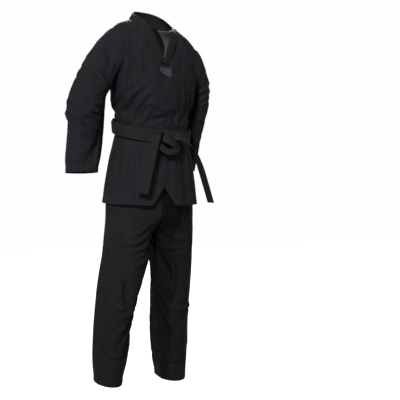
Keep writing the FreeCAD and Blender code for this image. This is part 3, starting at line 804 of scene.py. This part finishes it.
def make_jacket():
    """Two fronts that wrap over each other, left over right, and the back."""
    cloth = MATERIALS["ribbed"]
    right = panel(
        wrap_edge(RIGHT_EDGE, RIGHT_LAYER),
        lambda drop: -side_angle(drop, RIGHT_LAYER, "front"), RIGHT_LAYER, 62,
    )
    left = panel(
        wrap_edge(LEFT_EDGE, LEFT_LAYER),
        lambda drop: side_angle(drop, LEFT_LAYER, "front"), LEFT_LAYER, 72,
    )
    back = panel(
        lambda drop: side_angle(drop, 0.0, "back"),
        lambda drop: 2 * math.pi - side_angle(drop, 0.0, "back"), RIGHT_LAYER, 84,
    )
    pieces = (
        ("jacket_front_right", right, "front_skirt", ("right_front_panel", "right_front_flap",
         "right_flap_hem"), (0.55, 0.70)),
        ("jacket_front_left", left[:, ::-1], "front_skirt", ("left_front_panel", "left_front_flap",
         "left_flap_hem"), (0.55, 0.70)),
        ("jacket_back", back[:, ::-1], "back_skirt", ("back_panel", "back_skirt_panel", "back_skirt_hem"),
         (0.44, 0.70)),
    )
    rows = np.linspace(0, JACKET_HEM, right.shape[0])[:, None]
    starts = {
        "jacket_front_right": -round_trunk(wrap_edge(RIGHT_EDGE, RIGHT_LAYER)(rows), rows),
        "jacket_front_left": -round_trunk(side_angle(rows, LEFT_LAYER, "front"), rows),
        "jacket_back": -round_trunk(2 * math.pi - side_angle(rows, RIGHT_LAYER, "back"), rows),
    }
    for name, grid, skirt, stands_for, flat in pieces:
        piece = cloth_piece(name, grid, cloth, stitched=("foot",), ribs_from=starts[name])
        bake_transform(piece)
        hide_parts(*stands_for)


# ---------------------------------------------------------------- collar, lining and patch

# The collar band's upper edge from below the crossing of the fronts up to the neck, as
# (x, z) on the trunk, and on round the neck's back, as free points, for each side.
BAND_FRONT = {
    1: [(-15, -160), (-11, -143), (2, -108), (22, -66)],
    -1: [(-7, -153), (-13, -138), (-26, -104), (-37, -66)],
}
BAND_BEHIND = {
    1: [(31, -72, -42), (50, -44, -29), (70, -12, -17), (70, 26, 9), (60, 60, 29), (36, 82, 44), (0, 89, 51)],
    -1: [(-46, -78, -34), (-60, -46, -2), (-76, -8, 20), (-72, 34, 37), (-57, 61, 46), (-32, 80, 50),
         (0, 88, 50)],
}
# How far the band's lower edge lies outside and below the upper one, on the front, and
# then its (angle in degrees, drop) on the trunk behind.
BAND_DROP = {
    1: [(16, -12), (22, -12), (28, -10), (32, -8)],
    -1: [(-12, -8), (-20, -11), (-28, -11), (-32, -14)],
}
BAND_FOOT = {
    1: [(34, 34), (52, 18), (76, 9), (98, 8), (124, 9), (152, 10), (180, 10)],
    -1: [(-38, 36), (-56, 18), (-80, 8), (-102, 8), (-126, 9), (-152, 10), (-180, 10)],
}


def at_height(x, z, grow):
    """The point in front of the trunk at an x and a height."""
    drop = np.array(shoulder_rise(x, -z) - z)
    return trunk_point(trunk_angle(np.array(float(x)), drop, grow), drop, grow)


def band_edges(side, grow, count):
    """The upper and lower edge of one half of the collar band, from front to back."""
    top = [at_height(x, z, grow) for x, z in BAND_FRONT[side]]
    drops = zip(BAND_FRONT[side], BAND_DROP[side])
    low = [at_height(x + out, z + down, grow) for (x, z), (out, down) in drops]
    top += [np.array(point, float) for point in BAND_BEHIND[side]]
    low += [trunk_point(np.array(math.radians(angle)), np.array(float(drop)), grow)
            for angle, drop in BAND_FOOT[side]]
    return flowing(top, count), flowing(low, count)


def make_collar():
    """The stitched band round the neck opening, standing up behind the neck."""
    right_top, right_low = band_edges(-1, RIGHT_LAYER + 2.2, 100)
    left_top, left_low = band_edges(1, LEFT_LAYER + 2.6, 100)
    top = np.vstack([right_top, left_top[::-1][1:]])
    low = np.vstack([right_low, left_low[::-1][1:]])
    share = np.linspace(0, 1, 14)[:, None, None]
    grid = top[None] * (1 - share) + low[None] * share
    normal = grid_normals(grid, False)
    around = grid_lengths(grid, 1)
    down = 30 * share[..., 0]
    bulge = 2.4 * np.sin(math.pi * share[..., 0]) ** 0.6 + wrinkles(around, down, 31, 40.0, 40.0, 1.2)
    grid = grid + normal * bulge[..., None]
    band = cloth_piece("collar_band", grid, MATERIALS["collar"], stitched=("top", "foot"), thick=3.4)
    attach(band, "jacket")
    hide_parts("collar_stand", "right_lapel", "left_lapel")


LINING_LAYER = -6.0


def make_lining():
    """Pale facings inside the shoulders, with a dark gap at the middle of the back."""
    for name, first, last in (("neck_lining_left", 96.0, 148.0), ("neck_lining_right", 212.0, 264.0)):
        angle = np.radians(np.linspace(first, last, 34))[None, :]
        drop = np.linspace(8.0, 205.0, 42)[:, None]
        narrow = ease((drop - 60.0) / 120.0)
        angle = math.pi + (angle - math.pi) * (1 - 0.25 * narrow) + 0 * drop
        grid = on_trunk(angle, drop + 0 * angle, LINING_LAYER)
        facing = cloth_piece(name, grid, MATERIALS["lining"], grain=17, stitched=("foot",), thick=1.0)
        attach(facing, "jacket")
        if name.endswith("left"):
            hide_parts("shoulder_lining")


PATCH_CORNERS = ((-30, 180), (18, 181), (21, 217), (-28, 198))


def make_patch():
    """A small plain woven label, cut on a slant."""
    corners = np.array(PATCH_CORNERS, float)
    across = np.linspace(0, 1, 22)[None, :, None]
    down = np.linspace(0, 1, 16)[:, None, None]
    flat = (
        corners[0] * (1 - across) * (1 - down) + corners[1] * across * (1 - down)
        + corners[2] * across * down + corners[3] * (1 - across) * down
    )
    grow = LEFT_LAYER + 1.6
    angle = trunk_angle(flat[..., 0], flat[..., 1], grow)
    grid = on_trunk(angle, flat[..., 1], grow)
    edges = ("first", "last", "top", "foot")
    label = cloth_piece("chest_label", grid[:, ::-1], MATERIALS["patch"], stitched=edges, thick=1.2)
    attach(label, "jacket")
    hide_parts("chest_patch")


# ---------------------------------------------------------------- sleeves

# Drop, out, back, half width, half depth and tilt of each ring, from shoulder to cuff.
SLEEVES = {
    "right": np.array([
        (157, 196, 5, 112, 92, 88),
        (176, 214, 5, 100, 88, 76),
        (212, 233, 5, 79, 82, 58),
        (292, 257, 6, 67, 71, 22),
        (350, 268, 8, 68, 70, 6),
        (430, 274, 0, 61, 63, 4),
        (580, 285, -10, 59, 61, 0),
    ], float),
    "left": np.array([
        (168, 195, 5, 86, 84, 86),
        (194, 208, 8, 75, 80, 74),
        (228, 207, 12, 53, 74, 54),
        (305, 207, 20, 38, 66, 15),
        (350, 201, 30, 38, 62, 2),
        (440, 194, 52, 37, 57, 0),
        (572, 198, 95, 34, 50, 0),
    ], float),
}
SLEEVE_FOLDS = {
    "right": [
        ("front", 9, 6.0, [(-342, -330), (-318, -390), (-285, -440), (-250, -468)]),
        ("front", 8, 5.5, [(-330, -350), (-300, -385), (-262, -410), (-228, -420)]),
        ("front", 7, 5.0, [(-300, -322), (-275, -345), (-236, -352)]),
        ("front", 7, 5.0, [(-292, -352), (-266, -372), (-228, -384)]),
        ("front", 8, 4.5, [(-270, -300), (-246, -322), (-222, -322)]),
        ("front", 11, 6.5, [(-282, -168), (-256, -196), (-232, -240), (-218, -290)]),
        ("front", 10, 5.5, [(-268, -202), (-240, -232), (-216, -268)]),
        ("front", 12, 5.0, [(-236, -90), (-226, -140), (-214, -190)]),
        ("front", 12, 4.0, [(-318, -250), (-300, -300), (-306, -345)]),
        ("front", 12, 3.0, [(-320, -420), (-312, -480), (-318, -540)]),
        ("back", 10, 6.0, [(-330, -300), (-290, -345), (-240, -360)]),
        ("back", 10, 6.0, [(-336, -350), (-296, -392), (-246, -400)]),
        ("back", 12, 6.0, [(-300, -180), (-262, -220), (-220, -260)]),
        ("back", 12, 5.0, [(-250, -120), (-226, -180), (-210, -230)]),
    ],
    "left": [
        ("front", 8, 5.5, [(238, -200), (214, -236), (184, -262), (166, -270)]),
        ("front", 8, 5.5, [(244, -238), (220, -262), (190, -292), (172, -306)]),
        ("front", 7, 5.0, [(240, -262), (214, -292), (186, -322)]),
        ("front", 8, 4.0, [(214, -150), (198, -196), (180, -230)]),
        ("front", 9, 4.0, [(232, -330), (206, -360), (176, -372)]),
        ("front", 9, 3.5, [(226, -420), (200, -450), (172, -462)]),
        ("back", 10, 5.0, [(240, -230), (212, -280), (180, -300)]),
        ("back", 10, 5.0, [(236, -330), (206, -362), (176, -372)]),
        ("back", 11, 4.0, [(226, -440), (204, -470), (176, -480)]),
    ],
}
SLEEVE_ROWS = 110
SLEEVE_COLUMNS = 92
CAP_SHARE = 0.24


def sleeve_base(side, turn):
    """The seam curve round the armhole, just outside the trunk."""
    y = ARMHOLE["back"] + (ARMHOLE["deep"] + 7.0) * np.sin(turn)
    drop = ARMHOLE["drop"] - (ARMHOLE["tall"] + 5.0) * np.cos(turn)
    inside = np.clip(1 - ((y - trunk_back(drop)) / trunk_deep(drop)) ** 2, 0, 1)
    angle = side * (math.pi - np.arccos(np.clip((y - trunk_back(drop)) / trunk_deep(drop), -1, 1)))
    x = side * trunk_wide(drop) * np.sqrt(inside)
    point = np.stack([x, y, shoulder_rise(x, drop) - drop], axis=-1)
    lift = LEFT_LAYER + 0.8 if side > 0 else 1.0
    return point + sample_field(trunk_field, angle, drop) + lift * outward(angle)


def make_sleeve(side_name, side):
    """A sleeve that grows out of the armhole's edge and becomes a hanging tube."""
    stations = SLEEVES[side_name]
    centres = np.stack([side * stations[:, 1], stations[:, 2], -stations[:, 0]], axis=1)
    run = np.concatenate([[0], np.cumsum(np.linalg.norm(np.diff(centres, axis=0), axis=1))])
    run = run / run[-1]
    share = np.linspace(0, 1, SLEEVE_ROWS)[:, None]
    turn = np.linspace(0, 2 * math.pi, SLEEVE_COLUMNS, endpoint=False)[None, :]
    curves = [monotone(run, stations[:, column])(share) for column in range(6)]
    drop, out, back, wide, deep = curves[:5]
    tilt = np.radians(curves[5])
    lateral = wide * np.cos(turn)
    tube = np.stack([
        side * (out + lateral * np.cos(tilt)),
        back + deep * np.sin(turn),
        -drop + lateral * np.sin(tilt) - 6.0 * np.sin(turn) * ease((share - 0.8) / 0.2),
    ], axis=-1)
    base = sleeve_base(side, turn)
    join = ease(share / CAP_SHARE)[..., None]
    form = base + (tube - base) * join
    normal = grid_normals(form, True)
    centre = form.mean(axis=1, keepdims=True)
    flip = np.sign(((form - centre) * normal).sum(2, keepdims=True).mean())
    normal = normal * flip
    around = turn * 66.0 + 0 * share
    down = share * 470.0 + 0 * turn
    height = wrinkles(around, down, 41 + side, 48.0, 90.0, 3.4)
    cross = wrinkles(down, around, 47 + side, 26.0, 90.0, 4.0)
    height += cross * (np.exp(-((share - 0.55) / 0.12) ** 2) + 0.6 * np.exp(-((share - 0.22) / 0.1) ** 2))
    height += fold_heights(form, normal, SLEEVE_FOLDS[side_name])
    free = ease(share / 0.12) * ease((1.02 - share) / 0.12)
    calm = 1.0 if side < 0 else 0.6
    height = height * (0.12 + 0.88 * free) * calm
    shaped = form + normal * height[..., None] * ease(share / 0.08)[..., None]
    pin = 0.10 + 0.9 * (1 - ease(share / 0.08)) + 0 * turn
    loose = ease((share - 0.05) / 0.15) * (0.25 + 0.75 * ease((1.0 - share) / 0.16))
    shaped = shaped + settled(shaped, True, pin, growth=0.03, reach=10.0) * (loose * calm)[..., None]
    shaped = shaped + normal * (0.9 * ease((share - 0.955) / 0.008))[..., None]
    piece = cloth_piece(
        side_name + "_sleeve_cloth", shaped[:, ::-1] if flip < 0 else shaped, MATERIALS["ribbed"],
        closed=True, stitched=("foot",),
    )
    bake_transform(piece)
    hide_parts(side_name + "_sleeve", side_name + "_shoulder_cap", side_name + "_cuff_hem")


# ---------------------------------------------------------------- trousers

# Drop, out, half width, half depth of each leg's ring; the hips share one ellipse.
LEGS = {
    "right": np.array([
        (380, 90, 90, 112), (722, 90, 90, 118), (800, 91, 88, 112), (880, 95, 86, 105), (960, 113, 80, 98),
        (1050, 132, 73, 92), (1140, 143, 65, 87), (1220, 149, 59, 82), (1300, 154, 53, 80),
        (1385, 158, 48, 78),
    ], float),
    "left": np.array([
        (380, 90, 88, 112), (722, 90, 88, 118), (800, 92, 86, 112), (880, 96, 82, 105), (960, 96, 79, 98),
        (1050, 96, 77, 92), (1140, 99, 72, 87), (1220, 103, 69, 82), (1300, 106, 63, 80),
        (1385, 108, 56, 78),
    ], float),
}
HIPS = np.array([
    (380, 131, 99), (422, 133, 102), (570, 142, 115), (700, 177, 124), (860, 173, 112), (1000, 172, 112),
], float)
LEG_FOLDS = {
    "right": [
        ("front", 8, 4.5, [(-40, -760), (-80, -800), (-130, -812)]),
        ("front", 7, 4.5, [(-30, -800), (-80, -832), (-120, -842), (-160, -838)]),
        ("front", 7, 4.5, [(-26, -842), (-70, -860), (-108, -868)]),
        ("front", 8, 4.0, [(-20, -880), (-50, -905), (-90, -930)]),
        ("front", 9, 4.5, [(-190, -1060), (-160, -1082), (-128, -1086)]),
        ("front", 9, 4.0, [(-150, -1120), (-120, -1110), (-90, -1090)]),
        ("front", 10, 4.0, [(-180, -1160), (-150, -1170), (-120, -1150)]),
        ("front", 9, 3.5, [(-190, -1255), (-160, -1268), (-120, -1262)]),
        ("front", 11, 4.0, [(-140, -960), (-150, -1010), (-158, -1050)]),
        ("back", 9, 5.0, [(-60, -860), (-100, -880), (-150, -876)]),
        ("back", 9, 5.5, [(-80, -1040), (-120, -1062), (-180, -1052)]),
        ("back", 9, 5.5, [(-90, -1090), (-130, -1106), (-184, -1096)]),
        ("back", 9, 4.5, [(-110, -1220), (-150, -1236), (-190, -1228)]),
    ],
    "left": [
        ("front", 8, 4.0, [(20, -780), (60, -820), (120, -832)]),
        ("front", 7, 4.0, [(14, -850), (50, -862), (96, -858)]),
        ("front", 10, 5.0, [(60, -880), (66, -960), (58, -1040), (50, -1090)]),
        ("front", 9, 4.5, [(40, -1080), (80, -1098), (140, -1092), (160, -1088)]),
        ("front", 9, 4.0, [(50, -1130), (70, -1160), (86, -1200)]),
        ("front", 10, 4.0, [(112, -1140), (108, -1210), (104, -1290)]),
        ("front", 9, 4.0, [(60, -1290), (80, -1306), (120, -1300)]),
        ("back", 9, 5.0, [(60, -860), (100, -880), (150, -876)]),
        ("back", 9, 5.5, [(50, -1046), (100, -1064), (160, -1050)]),
        ("back", 9, 5.0, [(54, -1096), (110, -1106), (164, -1094)]),
        ("back", 9, 4.5, [(60, -1226), (110, -1240), (160, -1228)]),
    ],
}
LEG_ROWS = 186
LEG_COLUMNS = 96
LEG_HEM = 1385.0
FORK_TOP = 728.0
FORK_LOW = 870.0


def make_leg(side_name, side):
    """Half of the trousers: hip panels that close into a leg below the fork."""
    stations = LEGS[side_name]
    drop = np.linspace(384.0, LEG_HEM, LEG_ROWS)[:, None]
    share = np.linspace(0, 1, LEG_COLUMNS)[None, :]
    out, wide, deep = (monotone(stations[:, 0], stations[:, column])(drop) for column in (1, 2, 3))
    hip_wide, hip_deep = (monotone(HIPS[:, 0], HIPS[:, column])(drop) for column in (1, 2))
    half_turn = math.pi * share
    hips = np.stack([hip_wide * np.sin(half_turn), -hip_deep * np.cos(half_turn) + 0 * drop], axis=-1)
    full_turn = 2 * math.pi * share
    legs = np.stack([out - wide * np.cos(full_turn), -deep * np.sin(full_turn)], axis=-1)
    closing = ease((drop - FORK_TOP) / (FORK_LOW - FORK_TOP))[..., None]
    flat = hips * (1 - closing) + legs * closing
    knee = 8.0 * np.exp(-((drop - 1060.0) / 120.0) ** 2)
    lower = -knee + 0 * share
    hem_dip = 4.5 * np.sin(full_turn) * ease((drop - 1330.0) / 55.0)
    form = np.stack([
        side * np.maximum(flat[..., 0], 0.6), flat[..., 1] + lower, -drop - hem_dip,
    ], axis=-1)
    normal = grid_normals(form, False)
    normal[:, 0] = normal[:, 1]
    normal[:, -1] = normal[:, -2]
    heart = np.stack([side * (out + 0 * share), 0 * drop + 0 * share, form[..., 2]], axis=-1)
    flip = np.sign(((form - heart) * normal).sum(2).mean())
    normal = normal * flip
    around = share * 520.0 + 0 * drop
    down = drop + 0 * share
    height = wrinkles(around, down, 61 + side, 60.0, 150.0, 3.0)
    cross = wrinkles(down, around, 67 + side, 34.0, 120.0, 4.0)
    near_fork = np.exp(-((down - 850.0) / 55.0) ** 2)
    near_knee = np.exp(-((down - 1090.0) / 60.0) ** 2)
    near_hem = np.exp(-((down - 1290.0) / 60.0) ** 2)
    height += cross * (0.7 * near_fork + 0.8 * near_knee + 0.5 * near_hem)
    height += fold_heights(form, normal, LEG_FOLDS[side_name])
    at_edge = np.minimum(share, 1 - share)
    from_seam = ease(at_edge / 0.05)
    free = from_seam * ease((down - 700.0) / 60.0) * (0.35 + 0.65 * ease((LEG_HEM - down) / 60.0))
    shaped = form + normal * (height * free)[..., None]
    pin = np.clip(0.10 + 0.9 * (1 - ease((down - 690.0) / 60.0)), 0, 1)
    pin = np.maximum(pin, 1 - from_seam)
    loose = 0.2 + 0.8 * ease((LEG_HEM - down) / 110.0)
    shaped = shaped + settled(shaped, False, pin, growth=0.025, reach=9.0) * loose[..., None]
    shaped = shaped + normal * (0.9 * ease((down - (LEG_HEM - 22.0)) / 4.0))[..., None]
    joined = shaped.copy()
    whole = ease((drop[:, 0] - FORK_LOW + 12.0) / 12.0)[:, None]
    middle = 0.5 * (shaped[:, 0] + shaped[:, -1])
    joined[:, 0] = shaped[:, 0] * (1 - whole) + middle * whole
    joined[:, -1] = shaped[:, -1] * (1 - whole) + middle * whole
    # The left leg takes the darker copy of the trouser cloth, with painted shade.
    piece = cloth_piece(
        side_name + "_trouser_half", joined[:, ::-1] if flip < 0 else joined,
        MATERIALS["trouser" if side < 0 else "painted_shade_left_trouser"],
        grain=LEG_COLUMNS // 4 if flip > 0 else 3 * LEG_COLUMNS // 4, stitched=("foot",),
    )
    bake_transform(piece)
    stands_for = ["%s_%s" % (side_name, part) for part in
                  ("hip_front", "hip_back", "leg_front", "leg_back", "leg_hem")]
    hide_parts(*stands_for)


def make_waistband():
    """A gathered band with elastic in it, under the jacket."""
    turn = np.linspace(0, 2 * math.pi, 320, endpoint=False)[None, :]
    share = np.linspace(0, 1, 16)[:, None]
    gather = 1.6 * np.sin(64 * turn + 2.0 * np.sin(5 * turn)) * (0.5 + 0.5 * np.sin(math.pi * share))
    bulge = 1.5 * np.sin(math.pi * share)
    wide = 131.5 + 2 * share + gather + bulge
    deep = 99.5 + 3 * share + gather + bulge
    grid = np.stack([wide * np.sin(turn), -deep * np.cos(turn), -379.0 - 46.0 * share + 0 * turn], axis=-1)
    band = cloth_piece(
        "waistband_cloth", grid[:, ::-1], MATERIALS["trouser"],
        closed=True, stitched=("top", "foot"), thick=2.0,
    )
    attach(band, "trousers")
    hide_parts("waistband", "waist_elastic")


# ---------------------------------------------------------------- belt

BELT_WIDE = 42.0
BELT_THICK = 3.0
BELT_TILT = math.radians(11.8)
BELT_LEVEL = -410.0
WAIST_WIDE = 151.5
WAIST_DEEP = 124.0


def strap(name, body, middles, sides, wide, thick, stands_for=(), closed=False, turns=None):
    """A stitched strap along middles, with its width along sides and rounded edges.

    turns, when given, leaves the strap unattached to body; the second body and the two heights
    that it holds are not used.
    """
    middles = np.asarray(middles, float)
    if closed:
        run = np.roll(middles, -1, axis=0) - np.roll(middles, 1, axis=0)
    else:
        run = np.gradient(middles, axis=0)
    run = run / np.linalg.norm(run, axis=1, keepdims=True)
    sides = sides - (sides * run).sum(1, keepdims=True) * run
    sides = sides / np.linalg.norm(sides, axis=1, keepdims=True)
    faces_out = np.cross(run, sides)
    faces_out = faces_out / np.linalg.norm(faces_out, axis=1, keepdims=True)
    wide = np.broadcast_to(np.asarray(wide, float), (len(middles),))
    count = 25
    place = np.linspace(-1, 1, count)
    profile = (1 - np.abs(place) ** 8) ** 0.5
    groove = np.zeros(count)
    for row in range(2, count - 2, 4):
        groove[row] = 0.22
    half = 0.5 * thick * np.maximum(profile, 0.25) - groove
    across = np.concatenate([place, place[::-1]])
    height = np.concatenate([half, -half[::-1]])
    points = (
        middles[:, None] + 0.5 * wide[:, None, None] * across[None, :, None] * sides[:, None]
        + height[None, :, None] * faces_out[:, None]
    )
    ring_points = np.concatenate([points, points[:, :1]], axis=1)
    if closed:
        ring_points = np.concatenate([ring_points, ring_points[:1]], axis=0)
    rows, columns = ring_points.shape[:2]
    faces = quads(rows, columns, False)
    if not closed:
        caps = []
        for row, order in ((0, -1), (rows - 1, 1)):
            for step in range(count - 1):
                corners = [row * columns + step, row * columns + step + 1,
                           row * columns + 2 * count - 2 - step, row * columns + 2 * count - 1 - step]
                caps.append(corners[::order])
        faces = np.vstack([faces, np.array(caps)])
    steps = np.linalg.norm(np.diff(ring_points.mean(axis=1), axis=0), axis=1)
    along = np.concatenate([[0], np.cumsum(steps)])
    off = np.concatenate([across, across[:1]])[None, :] * 0.5 * wide.mean()
    along = along[:, None] + 0 * off
    off = off + 0 * along
    cloth = np.stack([off, along], axis=-1).reshape(-1, 2)
    edge = np.stack([0.5 * wide.mean() - np.abs(off), along], axis=-1).reshape(-1, 2)
    piece = new_piece(
        name, ring_points.reshape(-1, 3), faces, {"cloth_uv": cloth, "edge_uv": edge}, MATERIALS["belt"],
        joined_up(rows, columns, closed, True),
    )
    if turns is None:
        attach(piece, body)
    else:
        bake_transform(piece)
    if stands_for:
        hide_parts(*stands_for)


def belt_ring(grow, lift, seed, count=220, wobble=0.8):
    """One turn round the waist, lower in front than behind."""
    turn = np.linspace(0, 2 * math.pi, count, endpoint=False)
    ripple = wobble * np.sin(3 * turn + seed) + 0.5 * wobble * np.sin(7 * turn + 2 * seed)
    x = (WAIST_WIDE + grow) * np.sin(turn)
    y = -(WAIST_DEEP + grow) * np.cos(turn)
    z = BELT_LEVEL + lift + y * math.tan(BELT_TILT) - 0.03 * x + ripple
    lean = np.stack([0.10 * np.sin(turn), -0.10 * np.cos(turn), np.ones(count)], axis=1)
    return np.stack([x, y, z], axis=1), lean


def make_belt():
    """Two turns round the waist, the second over the first and a little lower."""
    for name, stands_for, grow, lift, seed in (
        ("belt_first_turn", "belt_inner_wrap", 1.6, 1.0, 71),
        ("belt_second_turn", "belt_outer_wrap", 5.4, -4.5, 73),
    ):
        middles, sides = belt_ring(grow, lift, seed)
        strap(name, "jacket", middles, sides, BELT_WIDE, BELT_THICK, [stands_for], closed=True)


def ribbon(route, sides, count):
    """Points and width directions along a given route."""
    return flowing(route, count), flowing(sides, count)


def make_knot():
    """A folded band across the wraps, a layer over them and the bight that hangs below."""
    middles, widths = ribbon(
        [(-24, -138, -439), (-14, -150, -444), (0, -156, -451), (20, -157, -461), (36, -152, -470),
         (46, -139, -474)],
        [(0.45, 0.2, 1)] * 6, 44,
    )
    strap("knot_band", "jacket", middles, widths, 27.0, 7.0, ["belt_knot"])
    middles, widths = ribbon(
        [(-22, -139, -424), (0, -145, -427), (34, -145, -431), (60, -141, -433), (84, -130, -431)],
        [(0.1, 0.1, 1)] * 5, 44,
    )
    strap("knot_top_layer", "jacket", middles, widths, 28.0, 3.4)
    middles, widths = ribbon(
        [(-34, -138, -464), (-30, -149, -472), (-14, -155, -486), (4, -157, -494), (26, -155, -490),
         (42, -149, -479), (48, -138, -470)],
        [(0.6, 0.4, 1), (0.55, 0.3, 1), (0.4, 0.3, 1), (0, 0.3, 1), (-0.4, 0.3, 1), (-0.7, 0.3, 1),
         (-0.8, 0.3, 0.8)],
        50,
    )
    strap("knot_bight", "front_skirt", middles, widths, 25.0, 6.0, ["belt_knot_bight"])


def make_tails():
    """The right tail hangs down in front, and the left one swings out to the side."""
    middles, widths = ribbon(
        [(-20, -146, -424), (-36, -152, -430), (-52, -155, -442), (-64, -157, -463)],
        [(0.6, -0.25, 0.8), (0.8, -0.3, 0.6), (0.95, -0.3, 0.3), (0.95, -0.35, -0.2)], 30,
    )
    strap(
        "right_tail_root", "jacket", middles, widths, np.linspace(28, 47, 30), 3.8,
        turns=("front_skirt", -0.43, -0.458),
    )
    middles, widths = ribbon(
        [(-64, -157.5, -464), (-73, -160, -500), (-84, -162, -550), (-95, -162, -604), (-104, -161, -648)],
        [(0.95, -0.35, -0.2)] * 5, 60,
    )
    strap(
        "right_tail", "front_skirt", middles, widths, np.linspace(47, 49, 60), 4.2, ["right_belt_tail"],
        turns=("right_belt_tail", -0.475, -0.53),
    )
    middles, widths = ribbon(
        [(30, -149, -430), (54, -156, -437), (82, -158, -455), (110, -157, -488), (139, -152, -545),
         (167, -149, -616), (192, -147, -684)],
        [(0.3, 0.5, 1), (0.4, 0.8, 0.7), (0.4, 1, 0.4), (0.1, 1, 0.1), (-0.12, 1, 0), (-0.14, 1, 0),
         (-0.14, 1, 0)],
        150,
    )
    split = int(np.argmin(np.abs(middles[:, 0] - 120.0)))
    strap(
        "left_tail_near", "jacket", middles[:split + 1], widths[:split + 1], 43.0, 4.0, ["left_tail_root"],
        turns=("front_skirt", -0.44, -0.485),
    )
    strap(
        "left_tail_far", "front_skirt", middles[split:], widths[split:], 43.0, 4.0, ["left_belt_tail"],
        turns=("left_belt_tail", -0.53, -0.60),
    )


# ---------------------------------------------------------------- the whole uniform

BLACK = rgb(0.0033, 0.0032, 0.0040)
GREY = rgb(0.0078, 0.0075, 0.0092)
COOL = rgb(0.0052, 0.0055, 0.0058)
MATERIALS = {
    "ribbed": ribbed_cloth("ribbed_cloth", BLACK, GREY, COOL),
    # Painted shade darkens the trouser cloth towards the hems.
    "trouser": ribbed_cloth("trouser_cloth", BLACK, rgb(0.0068, 0.0067, 0.0076), rgb(0.0050, 0.0052, 0.0053),
                            (0.3, 1.0, 0.0, 0.38)),
    # The left leg's cloth is a darker copy of the trouser cloth: painted shade, darker all over, more so down
    # the leg and over its inner half.
    "painted_shade_left_trouser": ribbed_cloth("left_trouser_cloth", BLACK, rgb(0.0060, 0.0059, 0.0068), COOL,
                                 (0.1, 0.4, 0.0, 0.38), True),
    "collar": ribbed_cloth("collar_cloth", rgb(0.0032, 0.0031, 0.0034), rgb(0.0068, 0.0066, 0.0070), COOL),
    "lining": plain_weave(
        "lining_cloth", rgb(0.030, 0.031, 0.034), rgb(0.050, 0.051, 0.054), 0.0009, 0.03, (0.004,),
    ),
    "patch": plain_weave(
        "patch_cloth", rgb(0.0125, 0.0120, 0.0150), rgb(0.0220, 0.0210, 0.0260), 0.0008, 0.03, (0.0022,),
    ),
    "belt": plain_weave(
        "belt_webbing", rgb(0.0046, 0.0049, 0.0052), rgb(0.0080, 0.0085, 0.0090), 0.0012, 0.02,
        (0.0035, 0.0105, 0.0175),
    ),
    "metal": brushed_metal("eyelet_metal"),
}

make_camera()
make_studio()
trunk_field = make_trunk_field()
make_jacket()
make_collar()
make_lining()
make_patch()
make_sleeve("right", -1)
make_sleeve("left", 1)
make_leg("right", -1)
make_leg("left", 1)
make_waistband()
make_belt()
make_knot()
make_tails()

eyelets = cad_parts["drawstring_eyelets"]
eyelets.data.materials.clear()
eyelets.data.materials.append(MATERIALS["metal"])
